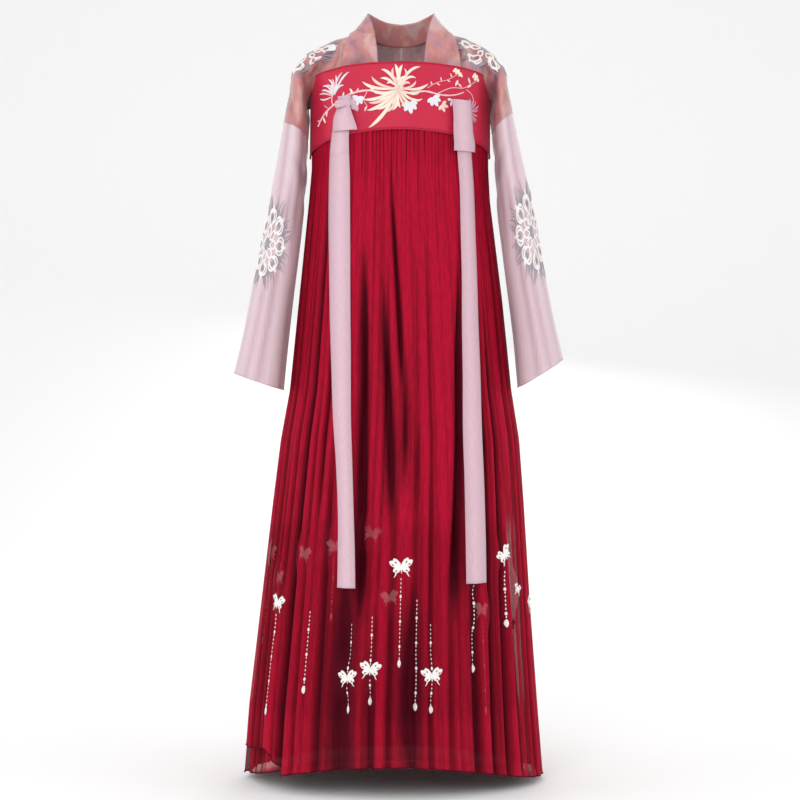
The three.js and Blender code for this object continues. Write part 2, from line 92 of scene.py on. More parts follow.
FLOOR_Z = -1.322
FLOOR_FRONT, FLOOR_BACK, FLOOR_HALF_WIDTH = -7.0, 2.2, 9
BACKDROP_TOP = 5.0
BEND = 1.6  # radius where the floor turns up into the backdrop
BEND_STEPS = 24
profile = [(FLOOR_FRONT, FLOOR_Z), (FLOOR_BACK, FLOOR_Z)]
for step in range(1, BEND_STEPS + 1):
    turn = math.radians(90 * step / BEND_STEPS)
    profile.append((FLOOR_BACK + BEND * math.sin(turn), FLOOR_Z + BEND * (1 - math.cos(turn))))
profile.append((FLOOR_BACK + BEND, BACKDROP_TOP))
floor_data = bpy.data.meshes.new("floor")
floor_points = [(x, y, z) for y, z in profile for x in (-FLOOR_HALF_WIDTH, FLOOR_HALF_WIDTH)]
floor_faces = [(2 * i, 2 * i + 1, 2 * i + 3, 2 * i + 2) for i in range(len(profile) - 1)]
floor_data.from_pydata(floor_points, [], floor_faces)
floor_data.polygons.foreach_set("use_smooth", [True] * len(floor_faces))
floor = bpy.data.objects.new("floor", floor_data)
bpy.context.collection.objects.link(floor)
floor_paint = bpy.data.materials.new("white_floor")
floor_paint.use_nodes = True
floor_shader = floor_paint.node_tree.nodes["Principled BSDF"]
floor_shader.inputs["Base Color"].default_value = (0.93, 0.93, 0.93, 1)
floor_shader.inputs["Roughness"].default_value = 0.9
floor_data.materials.append(floor_paint)

world = bpy.data.worlds.new("pale_room")
world.use_nodes = True
world.node_tree.nodes["Background"].inputs["Color"].default_value = (1, 1, 1, 1)
world.node_tree.nodes["Background"].inputs["Strength"].default_value = 0.85
bpy.context.scene.world = world
bpy.context.scene.view_settings.view_transform = "Standard"
print("floor at", FLOOR_Z)

# %% [markdown]
# ## Cloth finishes
# Each cloth is one Principled material. Chiffon is matt, sheer and crinkled, organza is sheer with a
# silky gleam and is woven from threads of two colours, and the band is a close satin. The colour of the
# chiffon is painted deeper in the folds, partly for the layers that light passes through there and partly
# as painted shade in the valleys, so every pleated mesh carries a number called fold that the material
# reads. A second number, cover, says how dense the chiffon looks: more so where it is gathered, less so
# where it hangs free.


# %% Helpers for materials
def new_material(name, color, roughness, sheen=0.0, alpha=1.0):
    """A cloth material, its node tree and its main shader."""
    material = bpy.data.materials.new(name)
    material.use_nodes = True
    tree = material.node_tree
    shader = tree.nodes["Principled BSDF"]
    shader.inputs["Base Color"].default_value = (*color, 1)
    shader.inputs["Roughness"].default_value = roughness
    shader.inputs["Sheen Weight"].default_value = sheen
    shader.inputs["Sheen Roughness"].default_value = 0.4
    shader.inputs["Alpha"].default_value = alpha
    return material, tree, shader


def thread_noise(tree, scale, detail=2.0):
    """Noise stretched by a scale along each axis of the object, as a node."""
    place = tree.nodes.new("ShaderNodeTexCoord")
    stretch = tree.nodes.new("ShaderNodeMapping")
    stretch.inputs["Scale"].default_value = scale
    noise = tree.nodes.new("ShaderNodeTexNoise")
    noise.inputs["Scale"].default_value = 1.0
    noise.inputs["Detail"].default_value = detail
    tree.links.new(place.outputs["Object"], stretch.inputs["Vector"])
    tree.links.new(stretch.outputs["Vector"], noise.inputs["Vector"])
    return noise


def add_bump(tree, shader, source, height):
    """Raises the surface a little where the source is bright."""
    bump = tree.nodes.new("ShaderNodeBump")
    bump.inputs["Strength"].default_value = 0.5
    bump.inputs["Distance"].default_value = height
    tree.links.new(source, bump.inputs["Height"])
    tree.links.new(bump.outputs["Normal"], shader.inputs["Normal"])


def color_steps(tree, source, steps):
    """A ramp from (place, colour) steps, read at the source's value."""
    ramp = tree.nodes.new("ShaderNodeValToRGB")
    elements = ramp.color_ramp.elements
    while len(elements) < len(steps):
        elements.new(0.5)
    for element, (place, color) in zip(elements, steps):
        element.position = place
        element.color = (*color, 1)
    tree.links.new(source, ramp.inputs["Fac"])
    return ramp.outputs["Color"]


def attribute_value(tree, name):
    """The number of that name which the mesh carries at its points."""
    node = tree.nodes.new("ShaderNodeAttribute")
    node.attribute_name = name
    return node.outputs["Fac"]


def mixed(tree, a, b, share, blend="MIX"):
    """Two colours, or colour outputs, mixed by a share."""
    node = tree.nodes.new("ShaderNodeMix")
    node.data_type = "RGBA"
    node.blend_type = blend
    for socket, value in ((node.inputs[6], a), (node.inputs[7], b), (node.inputs[0], share)):
        if hasattr(value, "is_output"):
            tree.links.new(value, socket)
        else:
            socket.default_value = value
    return node.outputs[2]


# %% Chiffon, lining and band
def chiffon(name, light, middle, dark):
    """Crinkled sheer cloth, painted deeper in its folds for shade and doubled layers, as dense as its cover
    value says.
    """
    material, tree, shader = new_material(name, middle, 0.75, sheen=0.05)
    tree.links.new(attribute_value(tree, "cover"), shader.inputs["Alpha"])
    shader.inputs["Sheen Tint"].default_value = (0.75, 0.06, 0.14, 1)
    shader.inputs["Specular IOR Level"].default_value = 0.1
    # Painted shade: the fold value darkens the chiffon from light to dark in its valleys, also for its
    # doubled layers.
    steps = [(0.0, light), (0.35, middle), (0.85, dark)]
    ground = color_steps(tree, attribute_value(tree, "fold"), steps)
    streaks = thread_noise(tree, (420, 420, 9))
    tone = color_steps(tree, streaks.outputs["Fac"], [(0.35, (0.82,) * 3), (0.65, (1.12,) * 3)])
    tree.links.new(mixed(tree, ground, tone, 1.0, "MULTIPLY"), shader.inputs["Base Color"])
    add_bump(tree, shader, streaks.outputs["Fac"], 0.0006)
    return material


# The darkest painted shade, deep inside a fold.
SHADE_IN_A_FOLD = (0.09, 0.001, 0.009)
OUTER_CHIFFON = chiffon("outer_chiffon", (0.43, 0.003, 0.027), (0.24, 0.002, 0.014), SHADE_IN_A_FOLD)
INNER_CHIFFON = chiffon("inner_chiffon", (0.38, 0.003, 0.025), (0.22, 0.002, 0.013), SHADE_IN_A_FOLD)
LINING_CLOTH = chiffon("lining_cloth", (0.32, 0.003, 0.020), (0.18, 0.002, 0.011), SHADE_IN_A_FOLD)
print("chiffon and lining ready")

# %% [markdown]
# ## The gathered skirt
# The skirt is three nested layers: two of sheer chiffon and a shorter opaque lining. All are gathered
# into the band, so tiny pleats crowd its edge, run together on the way down and end as deep tubes at
# the hem. A cloth simulation could do this, but the depth and place of each fold would be luck. Here
# each layer is a smooth bell with valleys pressed into it, and every valley has its own row: where it
# starts and ends, how deep it goes and how wide it is.

# %% The bell under the folds
# Height, middle, half width, depth in front and depth behind, in millimetres.
BELL = np.array([
    [-160, -2, 157, 114, 99],
    [-240, -2, 157, 116, 101],
    [-297, -3, 161, 121, 106],
    [-475, -1, 181, 139, 124],
    [-632, -1, 197, 155, 141],
    [-720, -2, 212, 163, 150],
    [-831, -5, 223, 173, 161],
    [-1009, -10, 239, 188, 177],
    [-1187, -14, 256, 201, 193],
    [-1315, -14, 266, 211, 204],
])
BAND = {"centre": -2, "side": 161, "front": 118, "rear": 102, "top": -68, "top_fall": 20}
FRONT_FOOT, FRONT_FOOT_FALL, REAR_FOOT = -183, 38, -205
HEM_FRONT, HEM_SIDE, HEM_REAR = -1268, -1312, -1300


def bell_sizes(z):
    """Middle, half width, front depth and rear depth of the bell at heights z."""
    return [np.interp(-z, -BELL[:, 0], BELL[:, k]) for k in range(1, 5)]


def bell_point(angle, z, inset):
    """Points on the bell at angles from the front in degrees, moved in by inset, in metres."""
    centre, side, front, rear = bell_sizes(z)
    turn = np.radians(angle)
    deep = np.where(np.cos(turn) > 0, front, rear)
    x = centre + (side - inset) * np.sin(turn)
    y = -(deep - inset) * np.cos(turn)
    return np.stack([x, y, z + 0 * x], -1) * MM


def fall_share(angle):
    """How much of their fall the band's edges have reached at an angle."""
    forward = np.cos(np.radians(angle))
    return np.where(forward > 0, 1 - forward, 1.0)


def band_foot(angle):
    in_front = np.cos(np.radians(angle)) > 0
    return np.where(in_front, FRONT_FOOT - FRONT_FOOT_FALL * fall_share(angle), REAR_FOOT)


def hem_height(angle):
    ahead = np.where(np.cos(np.radians(angle)) > 0, HEM_FRONT, HEM_REAR)
    return ahead + (HEM_SIDE - ahead) * np.sin(np.radians(angle)) ** 2


print("bell at the hem:", [float(round(size[0])) for size in bell_sizes(np.array([-1270.0]))])

# %% [markdown]
# ## The folds
# A valley is a soft groove that follows a line from the band to the hem. Its row says at which angle it
# leaves the band and reaches the hem, between which heights it is pressed in, and how deep and how
# wide it is. The main valleys are listed one by one. Between them come many thin ones with uneven sizes,
# and at the band a fringe of short gathers, all drawn from one seeded generator so that the skirt is
# the same every time.


# %% Tables of folds
# Angle at the band, angle at the hem, upper height, lower height, depth, half width in degrees.
FRONT_VALLEYS = [
    [-84, -83, -260, -1400, 13, 1.8],
    [-77, -75, -420, -1400, 15, 1.5],
    [-69, -68, -230, -1400, 17, 1.7],
    [-62, -63, -640, -1400, 9, 1.2],
    [-56, -58, -300, -1100, 12, 1.3],
    [-50, -50, -200, -1400, 18, 1.8],
    [-45, -42, -520, -1400, 9, 1.1],
    [-40, -37, -240, -900, 11, 1.2],
    [-34, -31, -640, -1400, 12, 1.4],
    [-26, -21, -860, -1400, 24, 4.2],
    [-24, -12, -340, -1060, 28, 2.2],
    [-15, 5, -400, -900, 25, 2.1],
    [-10, -9, -980, -1400, 13, 1.5],
    [-7, 12, -180, -680, 21, 1.4],
    [0, -2, -760, -1400, 10, 1.2],
    [3, 2, -520, -840, 19, 1.6],
    [7, 6, -920, -1340, 24, 3.6],
    [9, 8, -650, -860, 15, 1.3],
    [15, 15, -300, -1400, 8, 1.0],
    [25, 23, -900, -1400, 10, 1.3],
    [34, 35, -620, -1400, 15, 1.6],
    [40, 20, -380, -1060, 27, 2.1],
    [46, 43, -210, -1400, 14, 1.4],
    [54, 51, -420, -1400, 18, 1.7],
    [60, 60, -700, -1400, 9, 1.2],
    [67, 66, -220, -1400, 14, 1.6],
    [75, 73, -500, -1400, 12, 1.5],
    [83, 82, -280, -1400, 14, 1.8],
]
REAR_VALLEYS = [
    [97, 96, -240, -1400, 14, 1.8],
    [104, 105, -520, -1400, 9, 1.2],
    [112, 116, -210, -1400, 20, 1.9],
    [121, 120, -700, -1400, 12, 1.5],
    [131, 126, -230, -1000, 22, 2.0],
    [137, 139, -860, -1400, 20, 3.4],
    [147, 145, -210, -1400, 10, 1.2],
    [152, 159, -340, -1100, 25, 2.2],
    [164, 163, -640, -1400, 11, 1.4],
    [170, 168, -210, -900, 18, 1.6],
    [178, 181, -420, -1400, 24, 2.4],
    [188, 186, -900, -1400, 12, 1.5],
    [194, 199, -210, -1400, 16, 1.6],
    [207, 205, -560, -1400, 9, 1.1],
    [214, 210, -230, -1060, 24, 2.1],
    [221, 223, -880, -1400, 21, 3.2],
    [232, 229, -220, -1400, 12, 1.3],
    [240, 243, -400, -1400, 18, 1.7],
    [249, 248, -700, -1400, 10, 1.3],
    [256, 258, -220, -1400, 15, 1.6],
    [264, 264, -480, -1400, 13, 1.7],
]
# The hem's butterflies: angle, height, span, tilt, top and foot of the string of beads (0, 0 where there
# is none), and layer: 0 is the outer chiffon and 1 the second, where the outer one veils the thread.
BUTTERFLIES = [
    [2, -933, 43, 4, -950, -1101, 0],
    [-59, -1002, 40, -8, -1020, -1194, 0],
    [-18.5, -1120, 38, 6, -1029, -1180, 0],
    [-9.3, -1105, 40, -4, -1015, -1165, 0],
    [15, -1116, 40, 3, -1029, -1179, 0],
    [54, -918, 40, 34, -945, -1042, 0],
    [64, -980, 28, -20, 0, 0, 0],
    [35, -945, 38, -6, -965, -1115, 0],
    [82, -1010, 38, 8, -1030, -1170, 0],
    [-64, -960, 34, 12, 0, 0, 1],
    [-46, -915, 36, -10, 0, 0, 1],
    [-28.6, -901, 38, 5, -920, -1025, 1],
    [-11.5, -877, 36, -12, 0, 0, 1],
    [-2.5, -985, 34, 10, 0, 0, 1],
    [40, -1010, 36, -5, -1030, -1186, 1],
    [-80, -920, 36, 10, -940, -1080, 1],
    [100, -945, 40, -6, -962, -1110, 0],
    [119, -1060, 38, 5, -980, -1180, 0],
    [140, -930, 40, 20, -955, -1090, 0],
    [157, -1090, 40, -5, -1000, -1165, 0],
    [175, -948, 43, 3, -968, -1120, 0],
    [194, -1104, 38, 6, -1020, -1180, 0],
    [213, -925, 40, -18, -950, -1085, 0],
    [231, -1050, 38, 4, -970, -1160, 0],
    [250, -960, 40, -6, -980, -1130, 0],
    [129, -990, 34, -8, -1010, -1120, 1],
    [149, -900, 36, 12, 0, 0, 1],
    [185, -890, 36, -8, -910, -1010, 1],
    [222, -985, 34, 10, 0, 0, 1],
    [242, -890, 36, -5, -910, -1015, 1],
    [262, -1015, 38, 6, -1035, -1175, 1],
]
# Strings with no butterfly: angle, top and foot.
BARE_STRINGS = [
    [9, -987, -1175],
    [-38, -1010, -1150],
    [168, -1000, -1170],
    [205, -1030, -1185],
    [110, -1010, -1150],
]


def thin_valleys(start, end, count, generator):
    """Thin valleys between two angles, unevenly spaced, each with its own run, depth and width."""
    rows = []
    for place in np.linspace(start, end, count + 2)[1:-1]:
        at_band = place + generator.uniform(-1.6, 1.6)
        upper = generator.choice([-180, -180, -300, -480, -700])
        lower = generator.choice([-1400, -1400, -900, -650])
        depth = generator.uniform(1.5, 6.0)
        rows.append([at_band, at_band + generator.uniform(-2.5, 2.5), upper, lower, depth,
                     generator.uniform(0.5, 1.3)])
    return rows


def gathers(start, end, count, generator):
    """Short crowded gathers along the band's edge."""
    rows = []
    for place in np.linspace(start, end, count + 2)[1:-1]:
        at_band = place + generator.uniform(-0.7, 0.7)
        rows.append([at_band, at_band + generator.uniform(-6, 6), 0, generator.uniform(-520, -250),
                     generator.uniform(1.0, 2.6), generator.uniform(0.4, 0.75)])
    return rows


generator = np.random.default_rng(11)
FRONT_FOLDS = FRONT_VALLEYS + thin_valleys(-90, 90, 72, generator) + gathers(-90, 90, 74, generator)
REAR_FOLDS = REAR_VALLEYS + thin_valleys(90, 270, 56, generator) + gathers(90, 270, 66, generator)
print(len(FRONT_FOLDS), "folds in front,", len(REAR_FOLDS), "behind")


# %% Press the folds in and lay cloth over a grid
FOLDS_TOP = -190  # from this height to the hem the folds spread and grow
RUN_IN, RUN_OUT = 220, 160  # how far down a valley takes to reach its depth, and to end
STITCHED_ANGLE, STITCHED_HEIGHT = 6.5, 30  # half the size of the flat place round a butterfly


def eased(low, high, value):
    """0 below low, 1 above high, and a smooth rise between them."""
    share = np.clip((value - low) / (high - low), 0, 1)
    return share * share * (3 - 2 * share)


def fold_inset(folds, angle, z):
    """How far in the folds press the cloth, in millimetres, at angles and heights."""
    down = np.clip((z - FOLDS_TOP) / (HEM_SIDE - FOLDS_TOP), 0, 1)
    inset = np.zeros(np.broadcast(angle, z).shape)
    for at_band, at_hem, upper, lower, depth, width in folds:
        middle = at_band + (at_hem - at_band) * down ** 0.9
        if upper == 0:  # a gather starts at its full depth and fades
            grown = depth
            reach = 1 - eased(200, -lower, -z)
        else:
            grown = depth * (0.22 + 0.78 * down ** 0.7)
            reach = eased(-upper, -upper + RUN_IN, -z) * (1 - eased(-lower - RUN_OUT, -lower, -z))
        across = np.abs(angle - middle) / (width * (0.75 + 0.5 * down))
        inset += grown * reach * np.exp(-across ** 1.5)
    return inset


def left_by_stitching(angle, z):
    """The share of a fold's depth that is left near the butterflies, whose stitches stiffen the cloth."""
    left = 1.0
    for middle, height, *_ in BUTTERFLIES:
        away = ((angle - middle) / STITCHED_ANGLE) ** 4 + ((z - height) / STITCHED_HEIGHT) ** 4
        left = left * (1 - 0.82 * np.exp(-away))
    return left


def set_values(data, values):
    """Stores named numbers at a mesh's points."""
    for name, numbers in values.items():
        layer = data.attributes.new(name, "FLOAT", "POINT")
        layer.data.foreach_set("value", np.asarray(numbers, np.float32).ravel())


def smooth_piece(name, data, material):
    """A mesh as a smooth piece of the garment, which is all one body."""
    data.polygons.foreach_set("use_smooth", np.ones(len(data.polygons), bool))
    data.materials.append(material)
    piece = bpy.data.objects.new(name, data)
    bpy.context.collection.objects.link(piece)
    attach(piece, "root")
    print(name, len(data.polygons), "faces")
    return piece


def cloth_grid(name, points, material, values, wraps=False):
    """A smooth mesh over a grid of points, with a uv map in metres and named values at its points."""
    rows, columns = points.shape[:2]
    index = np.arange(rows * columns).reshape(rows, columns)
    right = np.roll(index, -1, axis=1) if wraps else index[:, 1:]
    left = index if wraps else index[:, :-1]
    faces = np.stack([left[:-1], left[1:], right[1:], right[:-1]], -1).reshape(-1, 4)
    data = bpy.data.meshes.new(name)
    data.from_pydata(points.reshape(-1, 3).tolist(), [], faces.tolist())
    set_values(data, values)
    across = np.linalg.norm(np.diff(points, axis=1), axis=2).mean() * np.arange(columns + 1)
    down = np.linalg.norm(np.diff(points, axis=0), axis=2).mean() * np.arange(rows)
    i, j = np.divmod(faces, columns)
    j = np.where(wraps & (j == 0) & (np.arange(4) >= 2), columns, j)
    uv = data.uv_layers.new(name="cut")
    uv.data.foreach_set("uv", np.stack([across[j], -down[i]], -1).astype(np.float32).ravel())
    return smooth_piece(name, data, material)


def thicken(piece, thickness, both_sides=False):
    """Gives a piece of cloth its thickness, behind the face it was made as or to both sides of it."""
    solid = piece.modifiers.new("thickness", "SOLIDIFY")
    solid.thickness = thickness * MM
    solid.offset = 0 if both_sides else -1
    solid.use_even_offset = True


# %% [markdown]
# ## The three layers
# The outer chiffon shows every fold. The second chiffon layer is tucked a little further in and is
# seen through it. Towards one side it and the lining stay narrower than the outer layer, so a strip
# of the edge is only one sheer layer and lets the light through. The opposite lower corner shows
# the second layer alone, below the raised corner of the first.


# %% Make the layers
def outer_hem(angle):
    """The outer hem, raised at the left corner."""
    return hem_height(angle) + 50 * (1 - eased(-60, -46, angle))


def inner_hem(angle):
    return hem_height(angle) + 3 + 10 * np.exp(-((angle / 60) ** 2))


def lining_hem(angle):
    return hem_height(angle) + 82


def right_margin(angle, z):
    """How much narrower the inner layers are at the right side, where the outer one is left sheer."""
    return 26 * np.exp(-(((angle - 88) / 34) ** 4)) * eased(600, 900, -z)


def inner_tuck(angle, z):
    return 8 + right_margin(angle, z)


def lining_tuck(angle, z):
    left = 14 * np.exp(-(((angle + 84) / 25) ** 4)) * eased(900, 1200, -z)
    return 18 + right_margin(angle, z) + left


def no_tuck(angle, z):
    return 0 * angle * z


def outer_cover(angle, z):
    """Dense where it is gathered, sheer over the veiled butterflies, and doubled along the hem."""
    veil = eased(840, 890, -z) * (1 - eased(1170, 1205, -z))
    right_strip = np.exp(-(((angle - 84) / 22) ** 4))
    return 0.93 - 0.21 * veil * (1 - right_strip) - 0.03 * right_strip


def inner_cover(angle, z):
    """Dense except at the left lower corner, where it shows alone."""
    corner = (1 - eased(-60, -44, angle)) * eased(1190, 1230, -z)
    return 0.92 - 0.16 * corner


def lining_cover(angle, z):
    return 1 + 0 * angle * z


# How each layer follows the folds (follows), how far behind the band it is sewn (behind), how far it
# is moved in lower down (tuck), and its rows of points.
LAYERS = [
    {"name": "skirt", "material": OUTER_CHIFFON, "follows": 1.0, "behind": 0.0, "tuck": no_tuck,
     "hem": outer_hem, "cover": outer_cover, "rows": 110},
    {"name": "underskirt", "material": INNER_CHIFFON, "follows": 0.8, "behind": 2.7, "tuck": inner_tuck,
     "hem": inner_hem, "cover": inner_cover, "rows": 64},
    {"name": "lining", "material": LINING_CLOTH, "follows": 0.7, "behind": 5.4, "tuck": lining_tuck,
     "hem": lining_hem, "cover": lining_cover, "rows": 44},
]
# Start and end angle, folds, and points along the outer layer's hem; the inner layers have half as many.
PANELS = {"front": (-90, 90, FRONT_FOLDS, 560), "back": (90, 270, REAR_FOLDS, 380)}


def skirt_layer(name, layer, start, end, folds, columns):
    """One panel of one layer, hung from the band's foot."""
    angle = np.linspace(start, end, columns)[None, :]
    down = (np.linspace(0, 1, layer["rows"]) ** 1.15)[:, None]
    foot = band_foot(angle)
    z = foot + (layer["hem"](angle) - foot) * down
    pressed = fold_inset(folds, angle, z)
    settled = eased(0, 0.14, down)
    follows = 1 + (layer["follows"] - 1) * settled
    tuck = layer["tuck"](angle, z) * settled + (1 - settled) * layer["behind"]
    points = bell_point(angle, z, pressed * left_by_stitching(angle, z) * follows + tuck)
    # Painted shade: the deeper a valley, the darker the chiffon is coloured there, partly also for its
    # doubled layers.
    fold = np.clip(pressed / (4.5 + 13 * down ** 0.8), 0, 1)
    return cloth_grid(name, points, layer["material"], {"fold": fold, "cover": layer["cover"](angle, z)})


skirt_pieces, hem_counts = {}, {}
for side, (start, end, folds, columns) in PANELS.items():
    for layer in LAYERS:
        name = layer["name"] + "_" + side
        hem_counts[name] = columns if layer["name"] == "skirt" else columns // 2
        skirt_pieces[name] = skirt_layer(name + "_cloth", layer, start, end, folds, hem_counts[name])
        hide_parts(name)

# %% [markdown]
# ## Organza
# The shirt is shot organza: its warp and weft have different colours, so it plays between dusty pink,
# coral and beige. Real cloth does that with the angle of view. An exported model can't, so the play is
# painted into long soft streaks along the threads instead. The lower sleeves are one pale pink.


# %% Organza and tie finishes
def shot_organza(name, stretch):
    """Silky sheer cloth whose two thread colours show as soft streaks."""
    material, tree, shader = new_material(name, (0.55, 0.27, 0.30), 0.42, sheen=0.35, alpha=0.93)
    wide = thread_noise(tree, stretch, 3.0)
    steps = [
        (0.30, (0.36, 0.13, 0.16)),
        (0.42, (0.54, 0.25, 0.29)),
        (0.52, (0.60, 0.22, 0.20)),
        (0.60, (0.64, 0.40, 0.38)),
        (0.72, (0.60, 0.30, 0.36)),
    ]
    ground = color_steps(tree, wide.outputs["Fac"], steps)
    shades = [(0.0, (1.0,) * 3), (1.0, (0.55, 0.45, 0.47))]
    shade = color_steps(tree, attribute_value(tree, "fold"), shades)
    weave = thread_noise(tree, (900, 900, 160))
    tree.links.new(mixed(tree, ground, shade, 1.0, "MULTIPLY"), shader.inputs["Base Color"])
    add_bump(tree, shader, weave.outputs["Fac"], 0.0003)
    return material


def plain_cloth(name, color, shade_color, roughness, sheen, alpha, grain):
    """Cloth of one colour with faint threads, shaded where the fold value says so."""
    material, tree, shader = new_material(name, color, roughness, sheen, alpha)
    shader.inputs["Specular IOR Level"].default_value = 0.3
    threads = thread_noise(tree, grain)
    ground = color_steps(tree, attribute_value(tree, "fold"), [(0.0, color), (1.0, shade_color)])
    tone = color_steps(tree, threads.outputs["Fac"], [(0.3, (0.93,) * 3), (0.7, (1.05,) * 3)])
    tree.links.new(mixed(tree, ground, tone, 1.0, "MULTIPLY"), shader.inputs["Base Color"])
    add_bump(tree, shader, threads.outputs["Fac"], 0.0003)
    return material


SHOT_ORGANZA = shot_organza("shot_organza", (34, 26, 9))
COLLAR_ORGANZA = shot_organza("collar_organza", (22, 22, 12))
PALE_ORGANZA = plain_cloth(
    "pale_organza", (0.76, 0.595, 0.64), (0.50, 0.32, 0.38),
    roughness=0.45, sheen=0.3, alpha=0.92, grain=(500, 500, 14),
)
ROSE_SATIN = plain_cloth(
    "rose_satin", (0.54, 0.014, 0.052), (0.34, 0.006, 0.028),
    roughness=0.55, sheen=0.08, alpha=1.0, grain=(300, 300, 900),
)
PINK_TIE = plain_cloth(
    "pink_tie", (0.66, 0.455, 0.525), (0.42, 0.25, 0.31),
    roughness=0.6, sheen=0.2, alpha=1.0, grain=(700, 700, 60),
)
print("organza, satin and tie cloth ready")

# %% [markdown]
# ## The shirt's halves
# Body and upper sleeve are cut in one piece, so the cloth has no seam at the shoulder and swells
# smoothly from one into the other. Crossing tubes would leave a hard line there. The shape is blended
# instead: a body and two arms are lofted as solids, Remesh melts them into one skin and Smooth rounds
# the joins. Then the skin is cut open at the neck, front, hem and sleeve seams, which leaves cloth.


# %% Tables of the shirt
# Height in front, at the side and behind, then half width, depth in front and depth behind.
BODY = [
    [-430, -430, -430, 140, 99, 92],
    [-300, -300, -300, 128, 88, 80],
    [-215, -215, -215, 138, 94, 82],
    [-140, -140, -140, 146, 103, 89],
    [-84, -92, -88, 143, 99, 90],
    [-56, -52, -54, 134, 84, 85],
    [-34, -22, -28, 114, 66, 74],
    [-20, -5, -13, 94, 52, 62],
    [-10, 5, -5, 70, 38, 48],
]
# Outer point across and up, inner point across and up, middle of the depth and half the depth.
LEFT_ARM = [
    [-58, 6, -50, -105, 6, 40],
    [-84, 1, -76, -108, 6, 48],
    [-112, -8, -102, -106, 5, 52],
    [-140, -21, -126, -102, 3, 54],
    [-168, -36, -145, -100, 1, 56],
    [-192, -64, -152, -118, -2, 60],
    [-200, -106, -157, -148, -5, 64],
    [-208, -160, -165, -184, -9, 66],
]
RIGHT_ARM = [
    [58, 7, 50, -105, 6, 40],
    [84, 2, 76, -108, 6, 48],
    [111, -6, 102, -106, 5, 52],
    [138, -18, 125, -102, 3, 54],
    [162, -34, 142, -98, 0, 56],
    [181, -58, 149, -112, -3, 59],
    [191, -94, 154, -140, -6, 62],
    [198, -143, 161, -176, -10, 66],
]
LEFT_SLEEVE = [
    [-208, -160, -165, -184, -9, 66],
    [-222, -240, -166, -256, -15, 69],
    [-235, -312, -173, -328, -20, 73],
    [-249, -384, -181, -400, -25, 77],
    [-262, -448, -189, -467, -29, 81],
    [-277, -528, -198, -550, -34, 86],
    [-294, -602, -206, -632, -38, 91],
]
RIGHT_SLEEVE = [
    [198, -143, 161, -176, -10, 66],
    [213, -217, 165, -243, -16, 69],
    [231, -297, 170, -318, -22, 73],
    [244, -372, 179, -393, -27, 77],
    [257, -445, 188, -468, -32, 81],
    [270, -512, 197, -545, -37, 86],
    [285, -577, 204, -628, -41, 91],
]


# %% Loft, blend and cut
def body_ring(row, sides):
    """One ring of the body, its height easing from front or back to the side."""
    front_z, side_z, rear_z, side, front, rear = row
    turn = np.linspace(0, 2 * np.pi, sides, endpoint=False)
    ahead = np.where(np.cos(turn) > 0, front_z, rear_z)
    z = ahead + (side_z - ahead) * np.abs(np.sin(turn)) ** 1.5
    deep = np.where(np.cos(turn) > 0, front, rear)
    return np.stack([side * np.sin(turn), -deep * np.cos(turn), z], -1)


def arm_ring(row, turn):
    """A ring of an arm or sleeve at turns measured from its outer point towards the front."""
    outer_x, outer_z, inner_x, inner_z, middle_y, half = np.moveaxis(np.asarray(row, float), -1, 0)
    along = np.cos(turn)
    x = (outer_x + inner_x) / 2 + (outer_x - inner_x) / 2 * along
    z = (outer_z + inner_z) / 2 + (outer_z - inner_z) / 2 * along
    return np.stack([x, middle_y - half * np.sin(turn), z], -1)


def closed_loft(rings):
    """A solid skin through rings of points: (points, faces)."""
    rings = np.array(rings)
    count, sides = rings.shape[:2]
    points = np.concatenate([rings.reshape(-1, 3), [rings[0].mean(0)], [rings[-1].mean(0)]])
    faces = []
    for j in range(sides):
        k = (j + 1) % sides
        for i in range(count - 1):
            faces.append((i * sides + j, i * sides + k, (i + 1) * sides + k, (i + 1) * sides + j))
        last = (count - 1) * sides
        faces += [(count * sides, k, j), (count * sides + 1, last + j, last + k)]
    return points, faces


def blended_skin(lofts, voxel, rounds):
    """Several closed lofts melted into one mesh of small cells and smoothed a few rounds, in metres."""
    points, faces = [], []
    for loft_points, loft_faces in lofts:
        base = sum(len(p) for p in points)
        points.append(loft_points * MM)
        faces += [tuple(base + i for i in face) for face in loft_faces]
    data = bpy.data.meshes.new("blend")
    data.from_pydata(np.concatenate(points).tolist(), [], faces)
    whole = bpy.data.objects.new("blend", data)
    bpy.context.collection.objects.link(whole)
    melt = whole.modifiers.new("melt", "REMESH")
    melt.mode = "VOXEL"
    melt.voxel_size = voxel * MM
    soften = whole.modifiers.new("soften", "SMOOTH")
    soften.factor = 0.5
    soften.iterations = rounds
    evaluated = whole.evaluated_get(bpy.context.evaluated_depsgraph_get())
    skin = bpy.data.meshes.new_from_object(evaluated)
    bpy.data.objects.remove(whole)
    return skin


ARM_TURNS = np.linspace(0, 2 * np.pi, 32, endpoint=False)
BODY_SIDES = 48
BELOW_FOOT = [-450, -450, -450, 142, 101, 94]  # one more ring, so that the foot can be cut clean
body_rings = [body_ring(row, BODY_SIDES) for row in [BELOW_FOOT] + BODY]
left_rings = [arm_ring(row, ARM_TURNS) for row in LEFT_ARM + [LEFT_SLEEVE[1]]]
right_rings = [arm_ring(row, ARM_TURNS) for row in RIGHT_ARM + [RIGHT_SLEEVE[1]]]
skin = blended_skin([closed_loft(rings) for rings in (body_rings, left_rings, right_rings)], 4.0, 9)
print("blended skin", len(skin.polygons), "faces")

# %% [markdown]
# ## Creases in the shirt
# Organza is stiff, so it breaks into straight soft troughs that run from where the cloth is held: the
# armpit, the collar and the top of the band. Each crease is a line seen from the front or the back,
# with its own depth and width. A negative depth raises a ridge.


